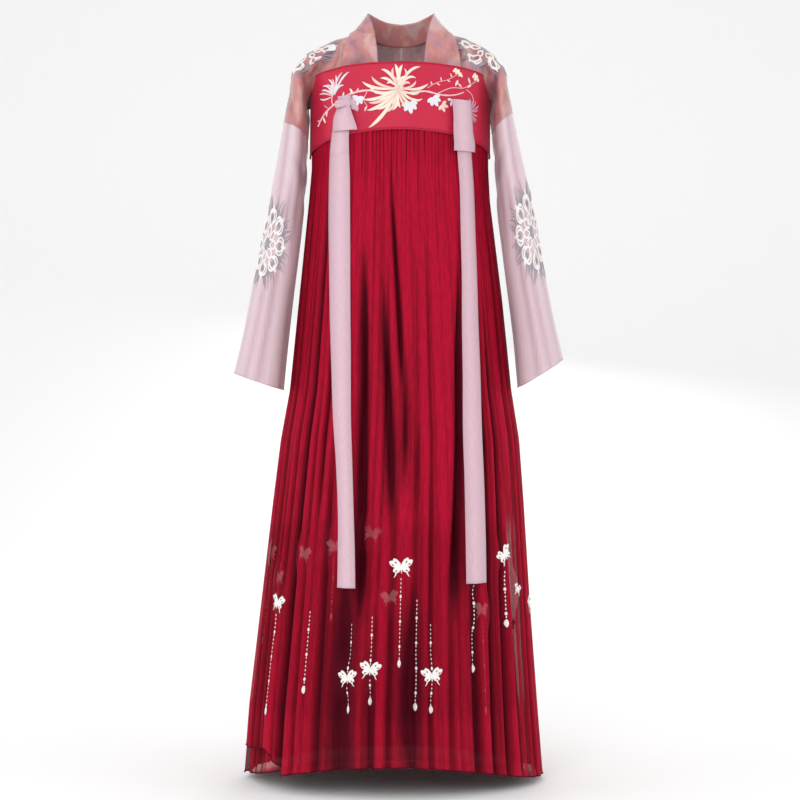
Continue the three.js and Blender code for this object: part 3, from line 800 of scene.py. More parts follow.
# %% Press creases and cut the halves
# Side, then across and up of both ends, then depth and half width.
SHIRT_CREASES = [
    ["front", -160, -92, -118, -30, 6.0, 8],
    ["front", -172, -60, -150, -150, 8.0, 9],
    ["front", -186, -70, -178, -165, -4.0, 9],
    ["front", -150, -84, -146, -34, 4.0, 6],
    ["front", -196, -100, -190, -150, 3.5, 7],
    ["front", -128, -90, -104, -14, -3.5, 8],
    ["front", -116, -88, -88, -22, 3.5, 6],
    ["front", -168, -110, -160, -172, 4.0, 7],
    ["front", 156, -90, 122, -26, 6.0, 8],
    ["front", 168, -52, 152, -140, 8.0, 9],
    ["front", 182, -62, 170, -150, -4.0, 9],
    ["front", 146, -82, 150, -30, 4.0, 6],
    ["front", 186, -92, 176, -140, 3.5, 7],
    ["front", 126, -88, 106, -16, -3.5, 8],
    ["front", 114, -86, 94, -24, 3.5, 6],
    ["front", 166, -104, 164, -160, 4.0, 7],
    ["back", -158, -90, -110, -30, 6.5, 9],
    ["back", -170, -56, -156, -150, 7.0, 9],
    ["back", -90, -90, -60, -24, 4.0, 9],
    ["back", -186, -76, -180, -160, 4.0, 8],
    ["back", 156, -90, 112, -30, 6.5, 9],
    ["back", 168, -54, 156, -140, 7.0, 9],
    ["back", 92, -90, 58, -24, 4.0, 9],
    ["back", 184, -70, 176, -150, 4.0, 8],
    ["back", 20, -88, 8, -26, 3.0, 8],
    ["back", -34, -92, -16, -40, -3.0, 9],
]


def crease_depth(points, normals, creases):
    """How far each point is pressed in, in millimetres: points are seen from the front or the back."""
    pressed = np.zeros(len(points))
    for side, x0, z0, x1, z1, depth, width in creases:
        start, run = np.array([x0, z0]), np.array([x1 - x0, z1 - z0])
        seen = points[:, [0, 2]] - start
        along = seen @ run / (run @ run)
        off = np.abs(seen[:, 0] * run[1] - seen[:, 1] * run[0]) / np.hypot(*run)
        taper = eased(-0.15, 0.25, along) * (1 - eased(0.75, 1.15, along))
        facing = normals[:, 1] < 0.25 if side == "front" else normals[:, 1] > -0.25
        pressed += depth * np.exp(-((off / width) ** 2)) * taper * facing
    return pressed


# The neck and the open front seen from above: across and back of its right-hand edge.
NECK_EDGE = [[0, 60], [30, 56], [56, 41], [74, 16], [84, -16], [93, -46], [100, -68], [103, -130]]


def inside_neck(x, y, margin):
    """Whether places seen from above lie inside the neck and the open front."""
    edge = np.array(NECK_EDGE, float)
    half = np.interp(-y, -edge[:, 1], edge[:, 0], left=-99)
    return np.abs(x) < half - margin


CENTRE_GAP = 0.15  # from the middle to each half
SHIRT_FOOT = -428
BODY_REACH, ARM_REACH = 0.156, 0.1555  # metres from the middle: body up to the first, arm from the second
SLEEVE_SHADE = 0.4  # painted shade over the arm, where the cloth also lies doubled


def creased_shape():
    """The blended skin with its creases pressed in."""
    shape = bmesh.new()
    shape.from_mesh(skin)
    shape.verts.ensure_lookup_table()
    shape.normal_update()
    points = np.array([v.co for v in shape.verts]) / MM
    normals = np.array([v.normal for v in shape.verts])
    pressed = crease_depth(points, normals, SHIRT_CREASES)
    for vertex, place in zip(shape.verts, (points - normals * pressed[:, None]) * MM):
        vertex.co = place
    return shape


def cut_away(shape, faces, place, normal):
    """Cuts faces of a shape at a plane and removes what lies on the side its normal points to."""
    edges = {e for f in faces for e in f.edges}
    corners = {v for f in faces for v in f.verts}
    bmesh.ops.bisect_plane(
        shape, geom=list(faces) + list(edges) + list(corners), plane_co=Vector(place) * MM,
        plane_no=normal, clear_outer=True,
    )


def arm_end(arm, sleeve):
    """The plane of an arm's last ring: its middle and the way to the sleeve's next ring."""
    here, beyond = [arm_ring(row, ARM_TURNS).mean(0) for row in (arm[-1], sleeve[1])]
    outer_x, outer_z, inner_x, inner_z = arm[-1][:4]
    normal = np.cross([outer_x - inner_x, 0.0, outer_z - inner_z], [0, 1, 0])
    return here, normal * np.sign(normal @ (beyond - here))


def cut_half(name, sign, arm, sleeve):
    """One half of the shirt: creased, cut open and shown as cloth."""
    shape = creased_shape()
    cut_away(shape, list(shape.faces), (CENTRE_GAP * sign, 0, 0), (-sign, 0, 0))
    body = [f for f in shape.faces if abs(f.calc_center_median().x) < BODY_REACH]
    cut_away(shape, body, (0, 0, SHIRT_FOOT), (0, 0, -1))
    outside = [f for f in shape.faces if abs(f.calc_center_median().x) > ARM_REACH]
    cut_away(shape, outside, *arm_end(arm, sleeve))
    gone = []
    for face in shape.faces:
        x, y, z = face.calc_center_median() / MM
        if inside_neck(x, y, 6 if z > -60 else 4) and (y < 20 or z > -30):
            gone.append(face)
    bmesh.ops.delete(shape, geom=gone, context="FACES")
    data = bpy.data.meshes.new(name)
    shape.to_mesh(data)
    shape.free()
    points = np.array([v.co for v in data.vertices]) / MM
    normals = np.array([v.normal for v in data.vertices])
    # Painted shade: the creases are darkened by their depth, and the cloth over each arm as a whole.
    shade_over_arm = SLEEVE_SHADE * eased(150, 186, np.abs(points[:, 0]))
    fold = np.clip(crease_depth(points, normals, SHIRT_CREASES) / 7 + shade_over_arm, 0, 1)
    set_values(data, {"fold": fold})
    return smooth_piece(name, data, SHOT_ORGANZA)


shirt_left = cut_half("shirt_left_cloth", -1, LEFT_ARM, LEFT_SLEEVE)
shirt_right = cut_half("shirt_right_cloth", 1, RIGHT_ARM, RIGHT_SLEEVE)
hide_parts("shirt_left")
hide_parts("shirt_right")

# %% [markdown]
# ## The lower sleeves
# Each lower sleeve is a slightly flared tube sewn on above the elbow. A tube that hangs on a bent arm
# breaks across at the elbow and falls in long troughs below it, so the tube is computed ring by ring
# and the troughs are pressed in with the same kind of rows as the skirt's folds.


# %% Sleeves
def smooth_rows(table, count):
    """A table's rows joined by a smooth curve and read at evenly spaced places."""
    rows = np.array(table, float)
    padded = np.concatenate([[2 * rows[0] - rows[1]], rows, [2 * rows[-1] - rows[-2]]])
    place = np.linspace(0, len(rows) - 1 - 1e-9, count)
    i = place.astype(int)
    t = (place - i)[:, None]
    a, b, c, d = padded[i], padded[i + 1], padded[i + 2], padded[i + 3]
    bend, twist = 2 * a - 5 * b + 4 * c - d, 3 * b - a - 3 * c + d
    return 0.5 * (2 * b + (c - a) * t + bend * t ** 2 + twist * t ** 3)


# Turn at the seam and at the cuff in degrees, start and end down the sleeve, depth, half width in degrees.
SLEEVE_TROUGHS = [
    [60, 78, -0.2, 0.62, 5.5, 14],
    [110, 96, 0.12, 1.2, 6.5, 15],
    [85, 62, 0.45, 1.3, 5.5, 12],
    [140, 132, -0.3, 0.55, 5.0, 13],
    [35, 30, 0.25, 1.3, 4.5, 13],
    [150, 160, 0.55, 1.3, 5.0, 14],
    [230, 244, -0.2, 0.70, 6.0, 15],
    [280, 262, 0.10, 1.2, 6.5, 15],
    [318, 300, -0.2, 0.60, 5.0, 14],
    [205, 212, 0.40, 1.3, 5.0, 14],
    [330, 335, 0.50, 1.3, 5.0, 13],
]
# Short breaks across the tube: turn, place down the sleeve, half width in degrees, half height, depth.
ELBOW_BREAKS = [
    [150, 0.17, 42, 0.035, 4.5],
    [172, 0.24, 36, 0.030, 3.5],
    [195, 0.12, 40, 0.035, 4.0],
    [20, 0.36, 34, 0.030, 2.5],
]


def sleeve_press(turn, down, mirror):
    """How far in a place on a sleeve is pressed, in millimetres."""
    degrees = np.degrees(turn) % 360
    pressed = np.zeros(np.broadcast(turn, down).shape)
    for at_seam, at_cuff, start, end, depth, width in SLEEVE_TROUGHS:
        middle = at_seam + (at_cuff - at_seam) * down + 9 * mirror
        off = (degrees - middle + 180) % 360 - 180
        reach = eased(start, start + 0.25, down) * (1 - eased(end - 0.25, end, down))
        pressed += depth * reach * np.exp(-np.abs(off / width) ** 1.6)
    for middle, place, width, height, depth in ELBOW_BREAKS:
        off = (degrees - middle + 180) % 360 - 180
        slope = 0.0012 * off  # a break slants a little
        pressed += depth * np.exp(-((off / width) ** 2) - ((down - place - slope) / height) ** 2)
    return pressed


def sleeve_point(table, turn, down, lift, mirror):
    """Points on a sleeve at turns in radians and shares of its length, raised by lift, in metres."""
    rows = smooth_rows(table, 400)
    index = np.clip(down, 0, 1) * (len(rows) - 1)
    row = rows[np.rint(index).astype(int)]
    ring = arm_ring(row, turn)
    middle = arm_ring(row, 0 * turn) / 2 + arm_ring(row, 0 * turn + np.pi) / 2
    out = ring - middle
    size = np.linalg.norm(out, axis=-1, keepdims=True)
    pressed = sleeve_press(turn, down, mirror)[..., None]
    raised = np.broadcast_to(lift, pressed.shape[:-1])[..., None]
    return (ring + out / size * (raised - pressed)) * MM


SLEEVE_SIDES, SLEEVE_ROWS = 112, 150


def sleeve(name, table, mirror):
    """A lower sleeve from its seam to its cuff: mirror sets its troughs a little further round."""
    turn = np.linspace(0, 2 * np.pi, SLEEVE_SIDES, endpoint=False)[None, :]
    down = np.linspace(0, 1, SLEEVE_ROWS)[:, None]
    turn, down = np.broadcast_arrays(turn, down)
    points = sleeve_point(table, turn, down, 0.0, mirror)
    # Painted shade: the troughs and elbow breaks are darkened by how deep they are pressed.
    fold = np.clip(sleeve_press(turn, down, mirror) / 9, 0, 1)
    return cloth_grid(name, points, PALE_ORGANZA, {"fold": fold}, wraps=True)


sleeve_left = sleeve("sleeve_left_cloth", LEFT_SLEEVE, 0)
sleeve_right = sleeve("sleeve_right_cloth", RIGHT_SLEEVE, 1)
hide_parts("sleeve_left")
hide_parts("sleeve_right")

# %% [markdown]
# ## The collar
# The collar is one long band folded double. It stands round the neck and runs down both fronts, sewn to
# the shirt along its outer edge. A row of the table gives its sewn edge and its free edge at one place.
# The rows are joined by a smooth curve, and a few slanted creases break it where it leaves the neck.


# %% Collar
# Sewn edge across, back and up, then free edge across, back and up, from the nape down one front.
COLLAR = [
    [0, 60, -13, 0, 46, 26],
    [30, 56, -11, 25, 41, 29],
    [56, 41, -5, 45, 28, 36],
    [74, 16, 3, 56, 7, 38],
    [84, -16, 0, 54, -20, 26],
    [93, -46, -18, 48, -52, 2],
    [100, -69, -46, 42, -84, -34],
    [103, -66, -72, 39, -89, -72],
    [103, -75, -120, 39, -97, -120],
    [103, -67, -180, 39, -94, -180],
    [103, -59, -240, 39, -88, -240],
    [103, -53, -300, 39, -84, -300],
    [103, -60, -365, 39, -88, -365],
    [103, -68, -424, 39, -95, -424],
]
COLLAR_LIFT = 2.2


def collar_half(sign):
    """The collar's outside face from the nape down one front: rows run along it, columns across."""
    rows = smooth_rows(COLLAR, 150)
    share = np.linspace(0, 1, 15)[None, :, None]
    sewn, free = rows[:, None, :3], rows[:, None, 3:]
    points = sewn + (free - sewn) * share
    return points * np.array([sign, 1, 1])


def grid_normals(points):
    """Unit normals of a grid of points."""
    down, across = np.gradient(points, axis=0), np.gradient(points, axis=1)
    normal = np.cross(across, down)
    return normal / np.maximum(np.linalg.norm(normal, axis=-1, keepdims=True), 1e-9)


# The same columns as the shirt's creases.
COLLAR_CREASES = [
    ["front", -82, 4, -50, -12, 3.2, 5],
    ["front", -60, 22, -52, -30, -2.0, 6],
    ["front", -88, -20, -60, -64, 2.2, 6],
    ["front", 84, 0, 58, -40, 2.5, 6],
    ["front", 70, -4, 64, -66, -2.0, 6],
    ["front", 92, -26, 80, -66, 2.4, 6],
]
left_half, right_half = collar_half(-1), collar_half(1)
collar_points = np.concatenate([left_half[::-1], right_half[1:]])
normals = grid_normals(collar_points)
outward = np.sign((normals * (collar_points - [0, 10, -60]))[..., :2].sum(-1).mean())
flat_points, flat_normals = collar_points.reshape(-1, 3), (normals * outward).reshape(-1, 3)
pressed = crease_depth(flat_points, flat_normals, COLLAR_CREASES)
lifted = flat_points + flat_normals * (COLLAR_LIFT - pressed)[:, None]
# Painted shade: the collar's creases are darkened by how deep they are pressed.
fold = np.clip(pressed / 5, 0, 1).reshape(collar_points.shape[:2])
collar = cloth_grid(
    "collar_cloth", lifted.reshape(collar_points.shape) * MM, COLLAR_ORGANZA, {"fold": fold}
)
if outward < 0:
    collar.data.flip_normals()
thicken(collar, 1.6)
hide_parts("collar")

# %% [markdown]
# ## The chest band
# The band is a stiff strip with interlining, so it stays a clean ring and only ripples a little. Its
# upper edge dips under the arms and its lower edge falls further, to a corner at each side. It has real
# thickness, because its edge shows against the skirt.


# %% Band
def band_point(angle, down, lift):
    """Points on the band at angles in degrees and shares of its height, raised by lift, in metres."""
    turn = np.radians(angle)
    top = BAND["top"] - BAND["top_fall"] * fall_share(angle)
    z = top + (band_foot(angle) - top) * down
    ripple = 0.9 * np.sin(angle / 6.3 + 2.0 * down) + 0.7 * np.sin(angle / 3.1 - 1.3 * down + 1.0)
    ripple = ripple * np.cos(turn / 2) ** 2 - 1.0
    deep = np.where(np.cos(turn) > 0, BAND["front"], BAND["rear"])
    x = BAND["centre"] + (BAND["side"] + ripple + lift) * np.sin(turn)
    y = -(deep + ripple + lift) * np.cos(turn)
    return np.stack(np.broadcast_arrays(x, y, z), -1) * MM


def band(name, start, end, columns):
    """One half of the band, its two edges turned in a little."""
    angle = np.linspace(start, end, columns)[None, :]
    down = np.linspace(0, 1, 26)[:, None]
    angle, down = np.broadcast_arrays(angle, down)
    inside_edge = np.isin(down, (0.0, 1.0))
    points = band_point(angle, down, np.where(inside_edge, -0.4, 0.0))
    # Painted shade: the satin is darkened in a narrow line along its turned-in lower edge.
    piece = cloth_grid(name, points, ROSE_SATIN, {"fold": 0.25 * np.exp(-((1 - down) / 0.03) ** 2)})
    thicken(piece, 2.2)
    return piece


band_front = band("band_front_cloth", -90, 90, 200)
band_back = band("band_back_cloth", 90, 270, 140)
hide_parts("band_front")
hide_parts("band_back")

# %% [markdown]
# ## The ties
# Each tie is one ribbon, folded over in front of the band: its short end hangs in front and its long end
# falls behind it nearly to the knee. The ribbon is followed as one strip from the short end's hem, up,
# over the fold and down, so that it reads as one length of cloth. The left one is wrapped once by a
# narrow knot and has a small loop beside it.


# %% Ties
def front_at(x, z):
    """How far forward the band or the skirt's ridges are at places seen from the front."""
    centre, side, front, _ = bell_sizes(z)
    skirt = front * np.sqrt(1 - np.minimum(0.99, np.abs(x - centre) / side) ** 2)
    across = np.minimum(0.99, np.abs(x - BAND["centre"]) / BAND["side"])
    fallen = np.clip((FRONT_FOOT - FRONT_FOOT_FALL - z) / 100, 0, 1)
    return np.maximum(skirt, BAND["front"] * np.sqrt(1 - across ** 2) * (1 - fallen))


# Height, middle across, width, and how far forward of the band or skirt, along the strip.
LEFT_STRIP = [
    [-184, -97, 43, 9.5],
    [-176, -98, 41, 9.5],
    [-160, -100, 34, 9.0],
    [-142, -99, 21, 8.5],
    [-130, -98, 21, 7.5],
    [-124, -98, 24, 5.0],
    [-128, -98, 24, 3.0],
    [-146, -99, 24, 2.5],
    [-186, -105, 30, 3.0],
    [-222, -107, 34, 3.5],
    [-270, -107, 37, 4.0],
    [-340, -107, 38, 4.0],
    [-420, -106, 37, 4.5],
    [-500, -105, 36, 4.5],
    [-590, -103, 34, 5.0],
    [-680, -101, 31, 5.0],
    [-760, -97, 28, 5.5],
    [-840, -94, 27, 5.5],
    [-905, -93, 29, 5.0],
    [-968, -93, 31, 5.0],
]
RIGHT_STRIP = [
    [-219, 110, 37, 9.5],
    [-204, 110, 37, 9.5],
    [-186, 108, 35, 9.0],
    [-160, 107, 33, 8.5],
    [-138, 105, 32, 8.5],
    [-130, 105, 32, 5.5],
    [-136, 106, 30, 3.0],
    [-160, 107, 26, 2.5],
    [-186, 108, 25, 3.0],
    [-222, 110, 25, 3.5],
    [-280, 114, 25, 4.0],
    [-360, 116, 26, 4.5],
    [-440, 118, 27, 4.5],
    [-520, 119, 29, 4.5],
    [-610, 121, 31, 5.0],
    [-700, 122, 33, 5.0],
    [-790, 125, 34, 5.5],
    [-880, 127, 35, 5.5],
    [-962, 128, 35, 5.0],
]


def tie(name, strip, twist):
    """A ribbon along a strip of rows, gently cupped and turning a little as it falls."""
    rows = smooth_rows(strip, 260)
    z, x, width, forward = [rows[:, k][:, None] for k in range(4)]
    share = np.linspace(-0.5, 0.5, 13)[None, :]
    place = x + width * share
    hang = np.clip((-z - 200) / 760, 0, 1)
    sway = 2.4 * np.sin(z / 58.0 + twist) * np.sqrt(hang)
    turn = 7.0 * np.sin(z / 210.0 + 1.7 * twist) * share * hang
    cup = 2.2 * np.cos(np.pi * share * 2) * (0.3 + hang)
    crinkle = 0.5 * np.sin(place / 3.1 + z / 95.0 + twist) * (0.4 + hang)
    y = -(front_at(place, z) + forward + np.abs(sway) + turn + cup + crinkle)
    y = np.minimum(y, -(front_at(place, z) + 1.4))
    points = np.stack(np.broadcast_arrays(place, y, z), -1) * MM
    # Painted shade: the ribbon is darkened towards its edges, where it cups back.
    fold = np.clip(0.35 - 0.35 * np.cos(np.pi * share * 2) + 0 * z, 0, 1)
    piece = cloth_grid(name, points, PINK_TIE, {"fold": fold * 0.6})
    thicken(piece, 0.7, both_sides=True)
    return piece


tie_left = tie("tie_left_cloth", LEFT_STRIP, 0.4)
tie_right = tie("tie_right_cloth", RIGHT_STRIP, 2.1)
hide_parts("tie_left_ribbon", "tie_left_tail")
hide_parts("tie_right_ribbon", "tie_right_tail", "tie_right_knot")


# %% Knot and loop of the left tie
def wrap(name, middle, size, height, tilt):
    """A narrow fold of ribbon wrapped round a place: middle, half width and half depth, height, tilt."""
    turn = np.linspace(0, 2 * np.pi, 56, endpoint=False)[None, :]
    share = np.linspace(-0.5, 0.5, 13)[:, None]
    bulge = 1 + 0.16 * np.cos(np.pi * share) + 0.05 * np.sin(3 * turn + 9 * share)
    x = middle[0] + size[0] * bulge * np.cos(turn)
    y = middle[1] + size[1] * bulge * np.sin(turn)
    z = middle[2] + height * share + tilt * np.cos(turn) + 0.8 * np.sin(5 * turn) * share
    points = np.stack(np.broadcast_arrays(x, y, z), -1) * MM
    # Painted shade: bands of darker colour across the wrapped ribbon, for the shade in its creases.
    crease = 0.35 + 0.35 * np.cos(6 * np.pi * share + np.cos(turn))
    piece = cloth_grid(name, points, PINK_TIE, {"fold": crease * 0.6}, wraps=True)
    thicken(piece, 0.8, both_sides=True)
    return piece


KNOT_X, KNOT_Z, KNOT_FORWARD = -98.0, -137.0, 6.0
knot_y = -float(front_at(np.array(KNOT_X), np.array(KNOT_Z))) - KNOT_FORWARD
knot = wrap("tie_left_knot_cloth", (KNOT_X - 0.5, knot_y, KNOT_Z), (14.0, 5.8), 13.0, 2.0)
wrap("tie_left_loop_cloth", (KNOT_X + 18, knot_y + 0.5, KNOT_Z - 4), (8.0, 3.6), 17.0, -3.0)
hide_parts("tie_left_knot")
print("knot and loop at", round(knot_y), "mm")

# %% [markdown]
# ## Embroidery
# Machine satin stitch lies on the cloth as smooth, slightly domed strips of thread. Every petal, leaf,
# cord and wing here is one such strip: a line on the cloth with a width that swells and tapers. The
# line is drawn flat and then laid on the piece through the same function that shaped the piece, so it
# follows each fold. All the strips of one thread are one mesh. The flowers and butterflies are drawn
# from general knowledge of such motifs, with curves computed from a few numbers each.


# %% Threads and strips
def thread(name, color, roughness=0.45):
    """Glossy embroidery thread with fine ridges."""
    material, tree, shader = new_material(name, color, roughness, sheen=0.25)
    ridges = thread_noise(tree, (900, 900, 900))
    add_bump(tree, shader, ridges.outputs["Fac"], 0.0003)
    return material


IVORY = thread("ivory_thread", (0.84, 0.74, 0.62))
PEACH = thread("peach_thread", (0.84, 0.58, 0.50))
BLUSH = thread("blush_thread", (0.86, 0.56, 0.58))
SILVER = thread("silver_thread", (0.74, 0.75, 0.79))
MAUVE = thread("mauve_thread", (0.60, 0.33, 0.45))
WHITE = thread("white_thread", (0.86, 0.82, 0.80))
LILAC = thread("lilac_thread", (0.33, 0.30, 0.35))
VEILED = thread("veiled_thread", (0.90, 0.72, 0.74))
DARK = thread("wing_spots", (0.10, 0.004, 0.012))
# A strip's section: across as a share of its width, up as a share of its height.
SECTION = np.array([[-0.5, 0.12], [-0.34, 0.75], [0.0, 1.0], [0.34, 0.75], [0.5, 0.12]])


def unit_step(heading):
    """A step of length one along a heading in degrees."""
    return np.array([math.cos(math.radians(heading)), math.sin(math.radians(heading))])


def strip(surface, path, widths, height):
    """A domed strip of thread along a flat path, laid on a surface: a grid of points."""
    path, widths = np.asarray(path, float), np.asarray(widths, float)
    run = np.gradient(path, axis=0)
    run /= np.maximum(np.linalg.norm(run, axis=1, keepdims=True), 1e-9)
    aside = np.stack([-run[:, 1], run[:, 0]], 1)
    places = path[:, None, :] + aside[:, None, :] * widths[:, None, None] * SECTION[None, :, 0, None]
    lift = 0.15 + height * SECTION[None, :, 1] * np.minimum(1, widths[:, None] / 1.5)
    return surface(places[..., 0], places[..., 1], lift)


def sew(name, grids, material):
    """All the strips of one thread as one mesh."""
    points, faces, base = [], [], 0
    for grid in grids:
        rows, columns = grid.shape[:2]
        index = base + np.arange(rows * columns).reshape(rows, columns)
        corners = (index[:-1, :-1], index[1:, :-1], index[1:, 1:], index[:-1, 1:])
        faces.append(np.stack(corners, -1).reshape(-1, 4))
        points.append(grid.reshape(-1, 3))
        base += rows * columns
    data = bpy.data.meshes.new(name)
    faces = np.concatenate(faces)
    data.from_pydata(np.concatenate(points).tolist(), [], faces.tolist())
    return smooth_piece(name, data, material)


def curve_path(start, heading, length, curl, steps=12, late=2.0):
    """A path that leaves start at a heading in degrees and turns by curl, mostly towards its end."""
    share = np.linspace(0, 1, steps)
    turn = np.radians(heading + curl * share ** late)
    stride = length / (steps - 1)
    moves = np.stack([np.cos(turn), np.sin(turn)], 1)[:-1] * stride
    return np.concatenate([[start], np.array(start) + np.cumsum(moves, axis=0)])


def petal_widths(width, steps=12, fullest=0.6):
    """Widths of a petal that swells to its fullest place and comes to a point."""
    share = np.linspace(0, 1, steps)
    after = 0.5 + 0.5 * (share - fullest) / (1 - fullest)
    swell = np.where(share < fullest, share / fullest * 0.5, after)
    return width * (0.12 + 0.88 * np.sin(np.pi * swell) ** 0.8)


# %% [markdown]
# ## The spray on the band
# A branch crosses the band. A large chrysanthemum with long curling petals sits in its middle, a small
# one opens at one end, and buds and leaves hang at the other. Chrysanthemum petals are narrow, leave
# one heart and curl late, so each is a path that turns mostly near its tip.


# %% Surface of the band
turns_table = np.radians(np.linspace(-120, 120, 481))
ring_x, ring_y = BAND["side"] * np.sin(turns_table), BAND["front"] * np.cos(turns_table)
around = np.concatenate([[0], np.cumsum(np.hypot(np.diff(ring_x), np.diff(ring_y)))])
around -= around[240]
SPRAY_HEIGHT = -118  # the level of the branch


def on_band(a, b, lift):
    """A place a mm round the band from its front and b mm above the branch."""
    angle = np.degrees(np.interp(a, around, turns_table))
    top = BAND["top"] - BAND["top_fall"] * fall_share(angle)
    down = (SPRAY_HEIGHT + b - top) / (band_foot(angle) - top)
    return band_point(angle, down, lift)


# %% Chrysanthemums
SPRAY_THREADS = {"ivory": IVORY, "peach": PEACH, "blush": BLUSH, "silver": SILVER, "mauve": MAUVE}
sewn = {color: [] for color in SPRAY_THREADS}


def embroider(color, path, widths, height):
    """Adds one strip to the spray in one of its threads."""
    sewn[color].append(strip(on_band, path, widths, height))


# Heading, length, width, curl and thread of the large flower's petals.
LARGE_FLOWER = [
    [128, 42, 5.5, 30, "ivory"], [108, 34, 5.0, -26, "peach"], [97, 38, 6.2, 14, "ivory"],
    [84, 37, 6.0, -20, "ivory"], [70, 34, 4.6, 42, "peach"], [50, 50, 5.0, -34, "ivory"],
    [38, 34, 4.4, -52, "ivory"], [146, 34, 5.0, 34, "ivory"], [158, 48, 5.2, -28, "peach"],
    [170, 60, 5.6, -22, "ivory"], [184, 44, 4.6, -30, "ivory"], [22, 30, 4.2, 40, "peach"],
    [8, 47, 5.0, 26, "ivory"], [-10, 34, 4.2, 36, "ivory"], [-26, 42, 4.6, 44, "ivory"],
    [197, 58, 5.8, -20, "ivory"], [206, 52, 5.2, -26, "peach"], [215, 60, 6.0, -22, "ivory"],
    [225, 47, 5.2, -30, "ivory"], [233, 76, 6.4, -16, "ivory"], [243, 42, 5.0, -32, "peach"],
    [256, 34, 5.0, -28, "ivory"], [272, 28, 5.0, 24, "ivory"], [290, 26, 4.8, 30, "peach"],
    [308, 30, 4.6, 30, "ivory"], [326, 30, 4.4, 34, "ivory"],
    [210, 34, 5.4, -24, "ivory"], [228, 30, 5.2, -24, "peach"], [192, 32, 5.0, -26, "ivory"],
    [248, 24, 4.8, -20, "ivory"], [118, 22, 4.6, 60, "peach"], [62, 24, 4.6, -60, "ivory"],
    [90, 20, 4.8, 50, "ivory"], [150, 22, 4.4, 55, "ivory"], [30, 20, 4.4, -55, "peach"],
]
# The same for the flower seen from the side.
SIDE_FLOWER = [
    [52, 46, 4.0, -18, "silver"], [66, 40, 3.6, -26, "blush"], [80, 32, 3.6, 20, "silver"],
    [94, 27, 3.4, 26, "blush"], [108, 30, 3.6, 40, "silver"], [122, 24, 3.2, 46, "blush"],
    [138, 30, 3.6, 44, "silver"], [154, 28, 3.4, 30, "silver"], [168, 32, 3.4, 20, "blush"],
    [184, 30, 3.4, -24, "silver"], [40, 26, 3.4, -40, "silver"], [72, 20, 3.6, 30, "silver"],
    [104, 18, 3.6, -30, "silver"], [146, 18, 3.4, 30, "blush"],
]
LARGE_HEART, SIDE_HEART, SMALL_HEART = (-2, 3), (-124, -4), (131, -30)
for heart, petals in ((LARGE_HEART, LARGE_FLOWER), (SIDE_HEART, SIDE_FLOWER)):
    for heading, length, width, curl, color in petals:
        start = np.array(heart) + 3.0 * unit_step(heading)
        path = curve_path(start, heading - 0.5 * curl, 1.08 * length, 2.1 * curl, steps=16)
        embroider(color, path, petal_widths(width, 16, 0.7), 1.2 + 0.012 * (80 - length))
for heading in np.linspace(15, 375, 12)[:-1]:
    path = curve_path(LARGE_HEART, heading, 11, 110, steps=9)
    embroider("peach" if heading % 2 < 1 else "ivory", path, petal_widths(2.8, 9), 2.6)

# The small flower's two fans of petals: first and last heading, count, length and curl.
SMALL_RADIUS, SMALL_WIDTH = 27, 3.0
SMALL_FLOWER = [
    [-60, 100, 9, 0.85, 35],
    [110, 290, 8, 0.55, -30],
]
generator = np.random.default_rng(5)
for first, last, count, length, curl in SMALL_FLOWER:
    for heading in np.linspace(first, last, count):
        turn = heading + generator.uniform(-5, 5)
        side = 1 if heading % 360 < 90 or heading % 360 > 270 else -1
        bend = curl * side * generator.uniform(0.5, 1.2)
        long = SMALL_RADIUS * length * generator.uniform(0.82, 1.08)
        start = np.array(SMALL_HEART) + 0.10 * SMALL_RADIUS * unit_step(turn)
        embroider("mauve", curve_path(start, turn, long, bend), petal_widths(SMALL_WIDTH), 1.5)
for heading in np.linspace(20, 380, 10)[:-1]:
    path = curve_path(SMALL_HEART, heading, SMALL_RADIUS * 0.24, 60, steps=8)
    embroider("blush", path, petal_widths(SMALL_RADIUS * 0.06, 8), 2.3)
print("petals:", {color: len(strips) for color, strips in sewn.items()})


# %% Branch, leaves and buds
# Places a stem passes through, its width, and the share of the width left at its end.
STEMS = [
    [[[-166, -52], [-150, -36], [-122, -18], [-92, -4], [-60, 2], [-24, -3], [14, -4]], 3.0, 1.2],
    [[[14, -4], [44, 0], [72, -5], [98, -4], [116, 2]], 3.4, 0.6],
    [[[-126, -20], [-128, -8], [-124, 2]], 2.0, 1.0],
    [[[-120, -17], [-134, -24], [-146, -18]], 1.6, 0.7],
    [[[66, -3], [92, 8], [118, 10], [146, 24]], 1.5, 0.8],
    [[[48, 6], [66, 16], [86, 22], [104, 32]], 1.1, 0.8],
    [[[122, 8], [136, 0], [142, -12]], 1.2, 0.8],
    [[[-58, 0], [-64, -14], [-58, -24]], 1.4, 0.8],
]
# Place and size of each bud.
BUDS = [[(105, 34), 7.5], [(100, 37), 6.5], [(148, 27), 9.0], [(143, 31), 8.0], [(110, 30), 6.0]]
# Thread, stalk, heading, size and count of lobes of each lobed leaf.
LOBED_LEAVES = [
    ["silver", (16, -20), -80, 20, 5],
    ["silver", (58, -10), -60, 18, 5],
    ["silver", (-74, -8), -100, 17, 5],
    ["peach", (74, -22), -40, 15, 4],
    ["silver", (94, -12), -100, 12, 3],
]
# Stalk, heading and size of each single leaf: the larger ones are ivory, the others blush.
SINGLE_LEAVES = [
    [(-150, -38), -60, 13], [(-138, -28), -110, 11], [(-158, -44), 170, 10], [(-104, -10), 70, 12],
    [(-84, -4), 110, 12], [(-78, -2), 60, 10], [(-44, -2), 130, 12], [(-58, -24), -120, 11],
    [(-92, -6), -80, 10], [(56, 10), 100, 8], [(64, 15), -30, 8], [(74, 18), 100, 8],
    [(84, 22), -30, 8], [(94, 26), 110, 8], [(100, 12), 60, 12], [(112, 10), 130, 10],
    [(124, 12), 20, 12], [(132, 18), 110, 12],
]


